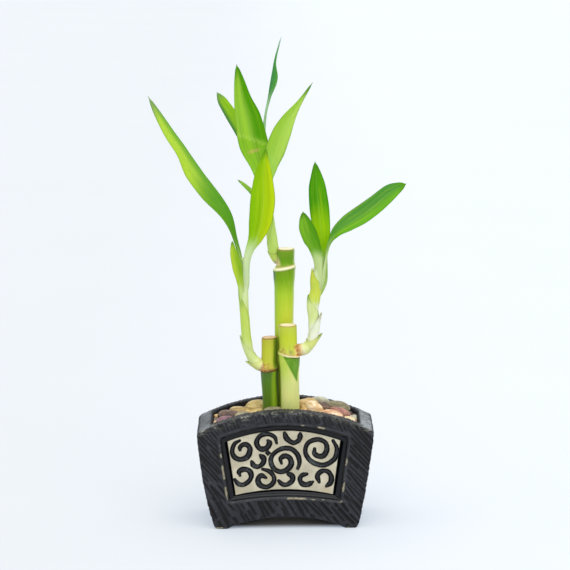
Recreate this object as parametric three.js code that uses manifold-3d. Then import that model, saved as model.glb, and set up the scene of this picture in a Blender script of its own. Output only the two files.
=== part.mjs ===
// Lucky bamboo: three cut canes, each with a leafy side shoot, in river pebbles in a fan-shaped
// stoneware pot. Millimetres, +Z up, the pot's scrolled front faces -Y. Everything is drawn about
// the middle of the pot's footprint, and the last lines move the whole so that the origin lies
// under the middle of its bounding box, at table height.
import * as THREE from 'three';
import { mergeVertices } from 'three/addons/utils/BufferGeometryUtils.js';
import Module from 'manifold-3d';

// ---------------------------------------------------------------- driving dimensions
const GAP = 0.3;                 // clearance between touching pieces

const POT_DEPTH = 50;            // front face to back face
const POT_EDGE = 1;              // chamfer round the front and back faces
const POT = { topHalf: 55.6, topEnd: 61.8, topCrown: 75.5 };
const FEET = { half: 44.8, chamferHalf: 46, chamfer: 4, inner: 36.5 };
const ARCH = { half: 33, end: 2.3, crown: 7.5 };
const CAVITY = { floor: 14, floorHalf: 38.5, mouth: 84, mouthHalf: 48.6, front: -15.5, back: 19.5 };
const CAVITY_CORNER = 3;         // rounding of the cavity's upright corners
const FRONT = -POT_DEPTH / 2;

const RECESS = {
  x: -1, topHalf: 40.5, topEnd: 59, topCrown: 66.9, lowHalf: 35.2, lowEnd: 17.2, lowCrown: 20.3,
};
const RECESS_LEDGE = 2.6;        // depth of the recess's outer step
const RECESS_FLOOR = 5.6;        // depth of the groove round the panel
const LEDGE_WIDTH = 1.2;
const PANEL = {
  x: -1.2, topHalf: 35.6, topEnd: 56.4, topCrown: 63.1, lowHalf: 30.7, lowEnd: 21.2, lowCrown: 24.8,
};
const PANEL_SETBACK = 2.3;       // the panel's face lies this far behind the pot's
const SCROLL_WIDTH = 2.6;
const SCROLL_DEPTH = 1.3;

const SCORE_PITCH = 4.2;         // the pot's diagonal scoring
const SCORE_DEPTH = 0.75;

const BED = { half: 47, end: 60.8, crown: 70.8 };   // the pebble bed's crowned top
const CANE_SIDES = 16;
const SHOOT_SIDES = 10;
const BLADE_THICKNESS = 0.8;

// The scrolls cut in the panel: points [x, z] along the middle of each stroke.
const SCROLLS = [
  [[-28.8, 56.7], [-32, 54.7], [-33.6, 49.8], [-32, 46], [-28.2, 44.6], [-24, 46.4], [-22.4, 51],
    [-24.2, 53.9], [-26.8, 54], [-28.6, 52.4], [-28.6, 50.6]],
  [[-5.7, 54.9], [-7, 58.8], [-11.4, 60.9], [-15.9, 59.6], [-18.2, 55.8], [-17.3, 52.6],
    [-14.5, 51], [-11.4, 52.3], [-10.2, 55], [-11.2, 56.6]],
  [[-0.7, 61.4], [0.8, 57.6], [4.8, 55], [8.5, 57], [9.1, 60.9]],
  [[29.6, 56.1], [32, 50.6], [30.2, 44.2], [23.4, 40.4], [15.8, 43], [12.2, 49], [14, 54.8],
    [19.7, 57], [24.6, 55], [25.7, 50.7], [23.8, 46.8], [20.6, 46.2], [18, 48], [18, 51]],
  [[7.4, 38.4], [8.5, 42.3], [7.4, 47], [4.2, 50.6], [0.2, 51.6], [-4.2, 50.5], [-8, 47.6],
    [-9.5, 43.6], [-7.8, 38.8], [-3.9, 36.4], [0.6, 37.6], [3.3, 41.2], [2.5, 45], [-0.5, 46.6],
    [-3.3, 44.8], [-2.8, 41.8]],
  [[-21.4, 43], [-20.2, 40.6], [-17.4, 39.8], [-14.6, 41.7], [-13.8, 44.8], [-16, 47.2]],
  [[-32.2, 31.6], [-29.9, 28.8], [-26.6, 28.3], [-23, 30.8], [-21.8, 34.2], [-23.2, 37.2],
    [-26.7, 38.2], [-29.4, 36.6], [-28.8, 34.2]],
  [[-14.6, 38.2], [-10, 36.4], [-7.5, 32.4], [-8.6, 28.6], [-12.4, 26.6], [-16.4, 28],
    [-17.6, 31.4], [-15.6, 34], [-12.6, 32.6]],
  [[-4.7, 30.6], [-2.5, 28.4], [0.6, 28], [4, 30.8], [3.6, 33.8], [1.2, 35]],
  [[13.1, 34.8], [9.8, 33.8], [8.7, 31], [10.4, 28.4], [13.4, 27.9], [16.8, 29.7]],
  [[20.7, 29.6], [19.7, 33.6], [22.6, 36.6], [26.2, 36.2], [28.3, 33], [28, 29.2], [25.3, 26.8]],
];
const DIAMOND = { x: -11.2, z: 48.6, radius: 2.1 };

// Pebbles set by hand: [x, y, z, half length, half width, half height, turn in degrees].
const PEBBLES = [
  [-37.4, -7.5, 65.4, 6.4, 4.8, 3.6, 8], [-35.6, 3, 66.6, 6.4, 4.6, 3.6, -16],
  [-29.6, 9.5, 67.6, 6.6, 5, 3.6, 5], [-18.2, 7.5, 71, 7.6, 6.2, 4.8, 0],
  [-7.4, -11.9, 72.6, 6.8, 3.2, 3.4, 4], [12.4, 3.5, 73, 4.6, 5, 3.6, 60],
  [15.4, 11, 72.6, 5.2, 4.6, 3.4, 20], [16.4, -5.5, 73.4, 7.6, 5, 4.6, -58],
  [23.6, 14, 72.2, 6, 4, 3.2, 0], [25.4, 5.5, 70.6, 5.2, 4.8, 3.4, 30],
  [29.6, -9.5, 69.4, 7, 4.4, 3.6, -14], [33.4, 10, 69.4, 8.4, 5.4, 3.8, -8],
  [35.2, -1.6, 68.2, 6.6, 3.6, 3.6, -22], [39.6, -10.6, 65.4, 4.6, 3.8, 3.4, 12],
];
const FILL_SEED = 7;
const FILL_PITCH = [10.4, 8.6];

// Canes: rings [z, x, y, radius, slope], the slope being the ring's rise towards +X.
const CANES = {
  stalk_left: [
    [38, -8.4, -3.3, 4.8, 0], [78, -9, -3.3, 5.2, 0], [92, -9.8, -3.3, 5.3, 0.05],
    [97.4, -9.8, -3.3, 5.6, 0.14], [99.2, -9.9, -3.3, 5.9, 0.14], [100.2, -9.9, -3.3, 5.4, 0.14],
    [103, -9.9, -3.3, 4.9, 0.08], [117.6, -9.6, -3.3, 5, 0.04], [118.6, -9.6, -3.3, 4.6, 0.04]],
  stalk_front: [
    [36, 3, -8.3, 5.4, 0], [78, 3.1, -8.2, 5.9, 0], [96, 2.9, -8.1, 5.9, -0.05],
    [105.6, 2.7, -8, 6.6, -0.16], [108.6, 2.6, -8, 6.9, -0.16], [109.8, 2.5, -8, 6.3, -0.16],
    [113.4, 2.2, -8, 5.6, -0.08], [126.4, 1.9, -8, 5.7, 0], [127.4, 1.9, -8, 5.3, 0]],
  stalk_back: [
    [40, -0.4, 5, 5, 0], [80, -0.5, 5, 5.6, 0], [120, -0.4, 5, 5.9, 0], [148, 0, 4.9, 6.2, 0.05],
    [158.2, 0.1, 4.8, 6.9, 0.17], [161.2, 0.2, 4.8, 7.2, 0.17], [162.4, 0.6, 4.8, 6.3, 0.17],
    [165.4, 1.1, 4.8, 5.4, 0.08], [172.6, 1.3, 4.8, 5.4, 0], [173.6, 1.3, 4.8, 5, 0]],
};
const CUT_DISH = { inset: 1.4, depth: 0.5 };        // the cut top's slight hollow

// Side shoots: [x, y, z, radius] along the middle, and dried sheath tips that stand off them
// as [x, y, z] root, [x, y, z] tip.
const SHOOTS = {
  shoot_left: {
    path: [[-12.6, -3.4, 99.8, 3.5], [-15, -3.5, 100.6, 3.7], [-17, -3.8, 101.8, 3.7],
      [-19.8, -4.4, 104.6, 3.1], [-22.2, -4.9, 109.6, 2.8], [-23.6, -5.2, 115.6, 2.9],
      [-24.4, -5.4, 123.6, 2.7], [-25, -5.5, 135, 2.7], [-25.4, -5.5, 147.6, 2.9],
      [-25.3, -5.5, 160, 2.6], [-25.2, -5.5, 169.6, 1.8]],
    tips: [[[-23.6, -5.2, 104.8], [-25.6, -5.4, 106]], [[-26, -5.4, 114], [-28.2, -5.6, 120.4]]],
  },
  shoot_right: {
    path: [[6.4, -8, 111.2, 3.6], [9.4, -8, 111.4, 3.9], [12.4, -8.2, 112, 3.6],
      [15.2, -8.4, 114.4, 3.1], [17.2, -8.6, 118, 3], [18.1, -8.7, 123, 3.2],
      [18.2, -8.8, 131, 3.1], [17.8, -8.8, 138, 3.5], [18.4, -8.8, 143.6, 3.6],
      [19.6, -8.8, 149, 3.2], [20.2, -8.8, 156, 3.6], [22, -8.8, 164, 3.4],
      [23.4, -8.7, 170.6, 2.2]],
    tips: [[[19.4, -8.7, 116.6], [22.8, -8.9, 121.2]], [[21, -8.8, 124.6], [23.2, -9, 132.6]],
      [[14.4, -8.6, 117.2], [12.8, -8.6, 116.4]], [[15, -8.8, 139.6], [15.2, -9, 145.4]],
      [[17, -8.9, 156], [17.2, -9.1, 162.6]]],
  },
  shoot_back: {
    path: [[-3.6, 6.4, 164.6, 2.2], [-5.4, 7.4, 168, 2.9], [-6.7, 8, 173, 3.3],
      [-7.6, 8.2, 180, 3.2], [-9.4, 8.2, 192, 3], [-11.2, 8.2, 203, 2.8], [-12.4, 8.2, 213, 2.2],
      [-12.9, 8.2, 219, 1.6]],
    tips: [[[-8.6, 7.2, 169], [-10.4, 7, 173.4]]],
  },
};
const TIP_RADIUS = 0.9;

// Leaves: stations [x, y, z, width, roll, cup] from the sheathing base to the tip. Roll is the
// turn of the blade about its rib in degrees (0 shows the upper face to -Y), and cup the half
// angle of the arc that its section is bent to.
const LEAVES = {
  leaf_left_long: [
    [-28.6, -5.2, 158, 8, 84, 74], [-28.2, -5, 168, 7, 78, 62], [-30.8, -3.6, 180.4, 5.6, 62, 44],
    [-36.3, 0, 195.6, 8.8, 42, 26], [-48.1, 5, 210, 12, 34, 20], [-56.5, 8, 221.2, 12.2, 34, 18],
    [-63.4, 11, 234, 8.8, 36, 16], [-71.4, 14, 245.8, 7.4, 36, 14], [-78.6, 17, 258, 5, 36, 12],
    [-84.3, 19, 268.8, 0.9, 36, 8]],
  leaf_left_front: [
    [-23.2, -8, 155, 6.4, 210, 70], [-22.8, -8.6, 166.4, 6, 208, 60],
    [-20.8, -9.4, 175.2, 6.8, 204, 40], [-17.2, -10.6, 183, 10.2, 198, 26],
    [-14.2, -12.4, 193.2, 15, 196, 20], [-12.7, -14.6, 205.5, 16.4, 196, 18],
    [-12.4, -17, 218.3, 13.4, 197, 16], [-11.9, -19.5, 228, 8.8, 200, 14],
    [-11.2, -21.5, 235.2, 4.2, 205, 12], [-10.5, -23, 240.9, 0.9, 205, 8]],
  leaf_left_small: [
    [-27.4, -8.8, 150, 5, 34, 66], [-28.2, -10.1, 157.4, 5.4, 26, 40], [-29.3, -10.9, 164, 6.6, 22, 30],
    [-30.7, -11.5, 170.3, 5.8, 22, 24], [-31.7, -12, 176, 3.8, 22, 16],
    [-32.1, -12.4, 181.6, 0.9, 20, 8]],
  leaf_back_broad: [
    [-13.2, 5, 203, 7, 10, 70], [-13.2, 6, 213.4, 8, 8, 50], [-14.4, 6.8, 224.6, 11.6, 4, 26],
    [-18.4, 6.6, 240.7, 18.8, -4, 20], [-21.5, 5, 256, 16.8, -8, 18], [-24.6, 3, 268.1, 11.2, -8, 16],
    [-26.6, 1, 279.4, 6.6, -6, 12], [-28.3, -1, 290.2, 0.9, -4, 8]],
  leaf_back_right: [
    [-8.6, 7.4, 206, 6, -72, 66], [-9.2, 5.2, 215.6, 7.4, -40, 46], [-7.3, 3.2, 226.4, 9.8, -26, 28],
    [-4.1, 1.4, 237.2, 13.4, -20, 22], [-0.7, -0.6, 246.6, 12.4, -18, 18],
    [3.5, -2.6, 255.6, 8.8, -18, 16], [7.8, -4.4, 262.6, 5.2, -20, 14],
    [12.4, -6.2, 269.6, 2.6, -24, 12], [18.5, -8, 279.1, 0.9, -28, 8]],
  leaf_back_rear: [
    [-13.6, 11.8, 206, 6, 150, 66], [-14.6, 12.6, 217, 6.6, 156, 50],
    [-20.7, 14.6, 233.7, 7.8, 158, 28], [-27, 16.6, 246.8, 8.8, 156, 20],
    [-32.8, 18.6, 256.8, 8.6, 154, 16], [-37.4, 20.4, 264, 7.6, 152, 12],
    [-41.3, 22, 270.7, 0.9, 150, 8]],
  leaf_back_top: [
    [-11.2, 10.4, 219.6, 5, -60, 50], [-11.6, 11.6, 241.4, 5, -66, 34],
    [-10.4, 12.4, 257, 4.6, -74, 26], [-7.9, 13.2, 267.5, 5, -70, 22], [-4.9, 14, 279.4, 5.2, -36, 18],
    [-4.3, 15, 290.6, 2.6, -56, 14], [-0.5, 17, 305.4, 0.9, -60, 8]],
  leaf_back_small: [
    [-13.6, 8.6, 197.4, 6, 86, 66], [-16.2, 9.6, 203.6, 4.8, 60, 44], [-20, 12, 208.4, 4, 40, 28],
    [-24.7, 14, 212.8, 2.6, 36, 18], [-28.6, 15.4, 215.8, 0.9, 36, 8]],
  leaf_right_upright: [
    [24.6, -6, 156, 6, 0, 66], [24.4, -5.8, 166, 6, 4, 56], [23.9, -6.2, 175, 6.8, 10, 44],
    [23.2, -6, 185.2, 11.4, 18, 26], [21.8, -5, 200.7, 13.4, 20, 20], [20.8, -4.2, 211.9, 12, 22, 18],
    [20.3, -3.4, 221.1, 7.4, 24, 14], [19.6, -2.6, 229.7, 0.9, 26, 8]],
  leaf_right_small: [
    [20.6, -12, 156.4, 6, 150, 66], [20.4, -12.6, 168, 7, 152, 48], [18.8, -13.6, 176.2, 9, 156, 30],
    [16.4, -14.8, 182.2, 11, 158, 22], [14.4, -16, 188.4, 11, 158, 18],
    [12.9, -17.2, 194.4, 8, 156, 14], [11.8, -18, 200.6, 0.9, 154, 8]],
  leaf_right_long: [
    [25.8, -10.4, 157, 7, -96, 70], [26.6, -10.8, 168, 6, -92, 60], [28.4, -11.2, 178.4, 4.6, -70, 44],
    [32.9, -12.5, 186.6, 8, -40, 28], [40, -14, 192.4, 11.2, -28, 20],
    [48.3, -15.5, 197.8, 12.2, -24, 18], [56.9, -17, 204.4, 11.8, -24, 16],
    [64.9, -18.5, 211.4, 10.8, -26, 14], [70.6, -19.5, 215, 7, -28, 12],
    [75.6, -20.5, 217.6, 0.9, -28, 8]],
};
const BLADE_WAVE = 0.25;         // height of the gentle waves along a blade's edges

const COLOURS = {
  pot: ['#26262b', 0.55], panel: ['#c9c2a6', 0.6], gravel: ['#b59a74', 0.55],
  stalk_left: ['#6f9a2a', 0.4], stalk_front: ['#b9cb5e', 0.4], stalk_back: ['#8fb53a', 0.4],
  shoot: ['#b7d673', 0.45], leaf: ['#6fb52c', 0.4],
};

// ---------------------------------------------------------------- helpers
const wasm = await Module();
wasm.setup();

function toSolid(geometry) {
  const bare = geometry.index ? geometry.toNonIndexed() : geometry.clone();
  bare.deleteAttribute('normal');
  bare.deleteAttribute('uv');
  const merged = mergeVertices(bare, 1e-4);
  return new wasm.Manifold(new wasm.Mesh({
    numProp: 3,
    vertProperties: new Float32Array(merged.attributes.position.array),
    triVerts: new Uint32Array(merged.index.array),
  }));
}

// The largest body of a solid, so that no scrap of a cut stays behind.
function mainBody(solid) {
  const bodies = solid.decompose();
  return bodies.reduce((best, body) => (body.volume() > best.volume() ? body : best));
}

function union(solids) {
  return wasm.Manifold.union(solids);
}

function toMesh(name, solid, [colour, roughness]) {
  const cut = solid.getMesh();
  const geometry = new THREE.BufferGeometry();
  geometry.setAttribute('position', new THREE.BufferAttribute(new Float32Array(cut.vertProperties), 3));
  geometry.setIndex(new THREE.BufferAttribute(new Uint32Array(cut.triVerts), 1));
  geometry.computeVertexNormals();
  const material = new THREE.MeshStandardMaterial({ color: colour, roughness, metalness: 0 });
  const mesh = new THREE.Mesh(geometry, material);
  mesh.name = name;
  return mesh;
}

// Points of an arc from (-half, end) over (0, crown) to (half, end).
function arc({ half, end, crown }, steps = 12) {
  const rise = crown - end;
  const radius = (half * half + rise * rise) / (2 * rise);
  const reach = Math.asin(half / radius);
  const points = [];
  for (let i = 0; i <= steps; i += 1) {
    const angle = -reach + (2 * reach * i) / steps;
    points.push([radius * Math.sin(angle), crown - radius + radius * Math.cos(angle)]);
  }
  return points;
}

// A fan outline: slanted sides between two upward arcs, drawn inwards by `inset`.
function fan(size, inset = 0) {
  const lower = { half: size.lowHalf - inset, end: size.lowEnd + inset, crown: size.lowCrown + inset };
  const upper = { half: size.topHalf - inset, end: size.topEnd - inset, crown: size.topCrown - inset };
  return [...arc(lower), ...arc(upper).reverse()].map(([x, z]) => [x + size.x, z]);
}

// An outline drawn in X and Z, made solid from y = near to y = far, with its edges bevelled.
function slab(points, near, far, bevel = 0, bevelSegments = 1) {
  const shape = new THREE.Shape(points.map(([x, z]) => new THREE.Vector2(x, z)));
  const geometry = new THREE.ExtrudeGeometry(shape, {
    depth: far - near - 2 * bevel,
    steps: 1,
    bevelEnabled: bevel > 0,
    bevelThickness: bevel,
    bevelSize: bevel,
    bevelOffset: -bevel,
    bevelSegments,
  });
  geometry.rotateX(Math.PI / 2);
  geometry.translate(0, far - bevel, 0);
  return toSolid(geometry);
}

// Evenly spread samples along stations of any number of values, smoothly blended. The first
// three values of a station are its place.
function blend(stations, count) {
  const place = new THREE.CatmullRomCurve3(stations.map((s) => new THREE.Vector3(s[0], s[1], s[2])),
    false, 'catmullrom', 0.5);
  const extras = stations[0].length - 3;
  const samples = [];
  for (let i = 0; i <= count; i += 1) {
    const t = i / count;
    const scaled = t * (stations.length - 1);
    const k = Math.min(Math.floor(scaled), stations.length - 2);
    const f = scaled - k;
    const ease = f * f * (3 - 2 * f);
    const values = [];
    for (let e = 0; e < extras; e += 1) {
      values.push(stations[k][3 + e] * (1 - ease) + stations[k + 1][3 + e] * ease);
    }
    samples.push({ t, at: place.getPoint(t), tangent: place.getTangent(t), values });
  }
  return samples;
}

// The side and back directions of a stem or blade whose run is `tangent`.
function frameAt(tangent) {
  const side = new THREE.Vector3(0, 1, 0).cross(tangent).normalize();
  const back = tangent.clone().cross(side).normalize();
  return { side, back };
}

// A closed solid through rings of points, each ring with the same count, capped at both ends.
function loft(rings) {
  const sides = rings[0].length;
  const positions = rings.flat().flatMap((p) => [p.x, p.y, p.z]);
  const middle = (ring) => ring.reduce((sum, p) => sum.add(p), new THREE.Vector3()).divideScalar(sides);
  const first = middle(rings[0]);
  const last = middle(rings[rings.length - 1]);
  positions.push(first.x, first.y, first.z, last.x, last.y, last.z);
  const firstIndex = rings.length * sides;
  const index = [];
  for (let r = 0; r < rings.length - 1; r += 1) {
    for (let s = 0; s < sides; s += 1) {
      const a = r * sides + s;
      const b = r * sides + ((s + 1) % sides);
      index.push(a, b, b + sides, a, b + sides, a + sides);
    }
  }
  const top = (rings.length - 1) * sides;
  for (let s = 0; s < sides; s += 1) {
    const next = (s + 1) % sides;
    index.push(firstIndex, next, s);
    index.push(firstIndex + 1, top + s, top + next);
  }
  const geometry = new THREE.BufferGeometry();
  geometry.setAttribute('position', new THREE.Float32BufferAttribute(positions, 3));
  geometry.setIndex(index);
  return toSolid(geometry);
}

// A repeatable run of numbers between 0 and 1.
function randomRun(seed) {
  let state = seed;
  return () => {
    state = (state * 1664525 + 1013904223) % 4294967296;
    return state / 4294967296;
  };
}

// ---------------------------------------------------------------- pot
// One scored groove: a square bar laid along the face with an edge pointing into it.
function scoreBar(length, from, direction, normal) {
  const geometry = new THREE.CylinderGeometry(SCORE_DEPTH, SCORE_DEPTH, length, 4);
  const along = direction.clone().normalize();
  const across = along.clone().cross(normal).normalize();
  const matrix = new THREE.Matrix4().makeBasis(across, along, normal);
  geometry.applyMatrix4(matrix.setPosition(from));
  return toSolid(geometry);
}

// The front's and back's scoring runs from upper left to lower right, by a hand that varies its
// slope a little; the sides carry the same scoring.
function scoring() {
  const random = randomRun(11);
  const bars = [];
  const reach = POT.topHalf + 30;
  for (const [y, facing] of [[FRONT, -1], [-FRONT, 1]]) {
    const normal = new THREE.Vector3(0, facing, 0);
    for (let x = -reach; x <= reach; x += SCORE_PITCH) {
      const slope = 1.05 + 0.25 * random();
      const direction = new THREE.Vector3(1, 0, -slope);
      bars.push(scoreBar(150, new THREE.Vector3(x + random() - 0.5, y, 38), direction, normal));
    }
  }
  const sideTurn = Math.atan2(POT.topHalf - FEET.half, POT.topEnd);
  for (const facing of [-1, 1]) {
    const normal = new THREE.Vector3(facing * Math.cos(sideTurn), 0, -Math.sin(sideTurn));
    const up = new THREE.Vector3(facing * Math.sin(sideTurn), 0, Math.cos(sideTurn));
    for (let z = -22; z <= 84; z += SCORE_PITCH * 1.25) {
      const at = up.clone().multiplyScalar(z).add(new THREE.Vector3(facing * FEET.half, 0, 0));
      const direction = up.clone().multiplyScalar(-0.85 - 0.2 * random());
      direction.y = -facing;
      bars.push(scoreBar(90, at, direction, normal));
    }
  }
  return union(bars);
}

function cavity(inset) {
  const outline = [
    [-CAVITY.floorHalf + inset, CAVITY.floor + inset], [CAVITY.floorHalf - inset, CAVITY.floor + inset],
    [CAVITY.mouthHalf - inset, CAVITY.mouth], [-CAVITY.mouthHalf + inset, CAVITY.mouth],
  ];
  return slab(outline, CAVITY.front + inset, CAVITY.back - inset, CAVITY_CORNER, 2);
}

function pot() {
  const outline = [
    [-FEET.chamferHalf, FEET.chamfer], [-FEET.half, 0], [-FEET.inner, 0], ...arc(ARCH),
    [FEET.inner, 0], [FEET.half, 0], [FEET.chamferHalf, FEET.chamfer],
    ...arc({ half: POT.topHalf, end: POT.topEnd, crown: POT.topCrown }, 20).reverse(),
  ];
  const body = slab(outline, FRONT, -FRONT, POT_EDGE);
  const outerStep = slab(fan(RECESS), FRONT - 5, FRONT + RECESS_LEDGE);
  const groove = slab(fan(RECESS, LEDGE_WIDTH), FRONT - 5, FRONT + RECESS_FLOOR);
  return mainBody(body.subtract(scoring()).subtract(outerStep).subtract(groove).subtract(cavity(0)));
}

// ---------------------------------------------------------------- panel
// One stroke of a scroll: a band of constant width about a smooth line, with round ends.
function stroke(points) {
  const curve = new THREE.SplineCurve(points.map(([x, z]) => new THREE.Vector2(x, z)));
  const steps = Math.round(points.length * 1.5);
  const half = SCROLL_WIDTH / 2;
  const left = [];
  const right = [];
  for (let i = 0; i <= steps; i += 1) {
    const at = curve.getPoint(i / steps);
    const run = curve.getTangent(i / steps);
    left.push([at.x - run.y * half, at.y + run.x * half]);
    right.push([at.x + run.y * half, at.y - run.x * half]);
  }
  const start = curve.getPoint(0).addScaledVector(curve.getTangent(0), -half);
  const end = curve.getPoint(1).addScaledVector(curve.getTangent(1), half);
  return [[start.x, start.y], ...right, [end.x, end.y], ...left.reverse()];
}

function panel() {
  const face = FRONT + PANEL_SETBACK;
  const plate = slab(fan(PANEL), face, FRONT + RECESS_FLOOR - GAP, 0.4);
  const { x, z, radius } = DIAMOND;
  const diamond = [[x - radius, z], [x, z - radius], [x + radius, z], [x, z + radius]];
  const outlines = [...SCROLLS.map(stroke), diamond];
  const cuts = outlines.map((points) => slab(points, face - 5, face + SCROLL_DEPTH));
  return mainBody(plate.subtract(union(cuts)));
}

// ---------------------------------------------------------------- gravel
function pebble([x, y, z, long, wide, high, turn]) {
  const geometry = new THREE.IcosahedronGeometry(1, 1);
  geometry.scale(long, wide, high);
  geometry.rotateZ(THREE.MathUtils.degToRad(turn));
  geometry.translate(x, y, z);
  return toSolid(geometry);
}

// Pebbles between those set by hand: one to each cell of a loose grid that none of them fills.
function fillPebbles() {
  const random = randomRun(FILL_SEED);
  const canes = Object.values(CANES).map((rings) => rings[1]);
  const pebbles = [];
  for (let row = 0; row < 4; row += 1) {
    for (let column = 0; column < 9; column += 1) {
      const x = -41.6 + (column + 0.5 * (row % 2) - 0.25) * FILL_PITCH[0] + 2 * (random() - 0.5);
      const y = -11.2 + row * FILL_PITCH[1] + 1.6 * (random() - 0.5);
      const size = 4.6 + 1.6 * random();
      const height = 3 + random();
      const turn = 180 * random();
      const level = BED.crown - 0.7 - (x * x) / 245 + 1.2 * random();
      const nearPebble = PEBBLES.some((p) => Math.hypot(x - p[0], y - p[1]) < 0.62 * (p[3] + size) - 1);
      const nearCane = canes.some((c) => Math.hypot(x - c[1], y - c[2]) < c[3] + 0.5 * size);
      if (!nearPebble && !nearCane && Math.abs(x) < 45) {
        pebbles.push([x, y, level, size, size * 0.8, height, turn]);
      }
    }
  }
  return pebbles;
}

function gravel() {
  const bedOutline = [[-60, 10], [60, 10], ...arc(BED).reverse()];
  const bed = cavity(GAP).intersect(slab(bedOutline, -30, 30));
  const stones = union([...PEBBLES, ...fillPebbles()].map(pebble)).intersect(cavity(GAP));
  const holes = Object.values(CANES).map((rings) => cane(rings, GAP));
  return mainBody(bed.add(stones).subtract(union(holes)));
}

// ---------------------------------------------------------------- canes and shoots
function cane(rings, grow = 0) {
  const circles = rings.map(([z, x, y, radius, slope], i) => ({
    z: i === 0 ? z - grow : z, x, y, radius: radius + grow, slope,
  }));
  const top = circles[circles.length - 1];
  if (grow > 0) {
    top.z += grow;
  } else {
    circles.push({ ...top, z: top.z - CUT_DISH.depth, radius: top.radius - CUT_DISH.inset });
  }
  return loft(circles.map(({ z, x, y, radius, slope }) => {
    const ring = [];
    for (let s = 0; s < CANE_SIDES; s += 1) {
      const angle = (2 * Math.PI * s) / CANE_SIDES;
      const dx = radius * Math.cos(angle);
      ring.push(new THREE.Vector3(x + dx, y + radius * Math.sin(angle), z + slope * dx));
    }
    return ring;
  }));
}

function shoot({ path, tips }, grow = 0) {
  const rings = blend(path, path.length * 2).map(({ at, tangent, values: [radius] }) => {
    const { side, back } = frameAt(tangent);
    const ring = [];
    for (let s = 0; s < SHOOT_SIDES; s += 1) {
      const angle = (2 * Math.PI * s) / SHOOT_SIDES;
      ring.push(at.clone()
        .addScaledVector(side, (radius + grow) * Math.cos(angle))
        .addScaledVector(back, (radius + grow) * Math.sin(angle)));
    }
    return ring;
  });
  const spurs = tips.map(([root, tip]) => {
    const from = new THREE.Vector3(...root);
    const run = new THREE.Vector3(...tip).sub(from);
    const geometry = new THREE.ConeGeometry(TIP_RADIUS + grow, run.length() + 2 + grow, 5);
    geometry.translate(0, run.length() / 2 - 1 + grow / 2, 0);
    geometry.applyQuaternion(new THREE.Quaternion()
      .setFromUnitVectors(new THREE.Vector3(0, 1, 0), run.clone().normalize()));
    geometry.translate(from.x, from.y, from.z);
    return toSolid(geometry);
  });
  return union([loft(rings), ...spurs]);
}

// ---------------------------------------------------------------- leaves
// A blade: a grid of points on its middle surface, given thickness along the surface's normal.
// Both faces are split into triangles along the same diagonals.
function leaf(stations, grow = 0) {
  const rows = Math.max(8, Math.round(stations.length * 1.35));
  const columns = 4;
  const width = columns + 1;
  const grid = blend(stations, rows).map(({ t, at, tangent, values: [broad, roll, cup] }) => {
    const { side, back } = frameAt(tangent);
    const turn = THREE.MathUtils.degToRad(roll);
    const across = side.clone().multiplyScalar(Math.cos(turn)).addScaledVector(back, Math.sin(turn));
    const lift = side.clone().multiplyScalar(Math.sin(turn)).addScaledVector(back, -Math.cos(turn));
    const bend = THREE.MathUtils.degToRad(cup);
    const radius = (broad / 2 + grow) / bend;
    const points = [];
    for (let c = 0; c <= columns; c += 1) {
      const u = (2 * c) / columns - 1;
      const wave = BLADE_WAVE * u * u * Math.sin(2 * Math.PI * (2.5 * t + 0.2 * u)) * Math.min(1, broad / 9);
      points.push(at.clone()
        .addScaledVector(across, radius * Math.sin(u * bend))
        .addScaledVector(lift, radius * (1 - Math.cos(u * bend)) + wave));
    }
    return points;
  });
  const half = BLADE_THICKNESS / 2 + grow;
  const upper = [];
  const lower = [];
  grid.forEach((points, r) => points.forEach((point, c) => {
    const alongRun = grid[Math.min(r + 1, rows)][c].clone().sub(grid[Math.max(r - 1, 0)][c]);
    const acrossRun = points[Math.min(c + 1, columns)].clone().sub(points[Math.max(c - 1, 0)]);
    const normal = acrossRun.cross(alongRun).normalize();
    upper.push(point.clone().addScaledVector(normal, half));
    lower.push(point.clone().addScaledVector(normal, -half));
  }));
  const positions = [...upper, ...lower].flatMap((p) => [p.x, p.y, p.z]);
  const under = upper.length;
  const index = [];
  const quad = (a, b, c, d) => index.push(a, b, c, a, c, d);
  for (let r = 0; r < rows; r += 1) {
    for (let c = 0; c < columns; c += 1) {
      const a = r * width + c;
      quad(a, a + 1, a + 1 + width, a + width);
      index.push(under + a, under + a + 1 + width, under + a + 1);
      index.push(under + a, under + a + width, under + a + 1 + width);
    }
    const leftEdge = r * width;
    const rightEdge = leftEdge + columns;
    quad(leftEdge, leftEdge + width, under + leftEdge + width, under + leftEdge);
    quad(rightEdge, under + rightEdge, under + rightEdge + width, rightEdge + width);
  }
  for (let c = 0; c < columns; c += 1) {
    const end = rows * width + c;
    quad(c, under + c, under + c + 1, c + 1);
    quad(end, end + 1, under + end + 1, under + end);
  }
  const geometry = new THREE.BufferGeometry();
  geometry.setAttribute('position', new THREE.Float32BufferAttribute(positions, 3));
  geometry.setIndex(index);
  return toSolid(geometry);
}

// ---------------------------------------------------------------- assembly
const plant = new THREE.Group();
plant.name = 'lucky_bamboo';
plant.add(toMesh('pot', pot(), COLOURS.pot));
plant.add(toMesh('panel', panel(), COLOURS.panel));
plant.add(toMesh('gravel', gravel(), COLOURS.gravel));

for (const [name, rings] of Object.entries(CANES)) {
  plant.add(toMesh(name, cane(rings), COLOURS[name]));
}

const grownCanes = union(Object.values(CANES).map((rings) => cane(rings, GAP)));
for (const [name, spec] of Object.entries(SHOOTS)) {
  plant.add(toMesh(name, mainBody(shoot(spec).subtract(grownCanes)), COLOURS.shoot));
}

// Each leaf is cut clear of the shoots, the canes and the leaves set before it.
let taken = union([grownCanes, ...Object.values(SHOOTS).map((spec) => shoot(spec, GAP))]);
for (const [name, stations] of Object.entries(LEAVES)) {
  plant.add(toMesh(name, mainBody(leaf(stations).subtract(taken)), COLOURS.leaf));
  taken = taken.add(leaf(stations, GAP));
}

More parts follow.
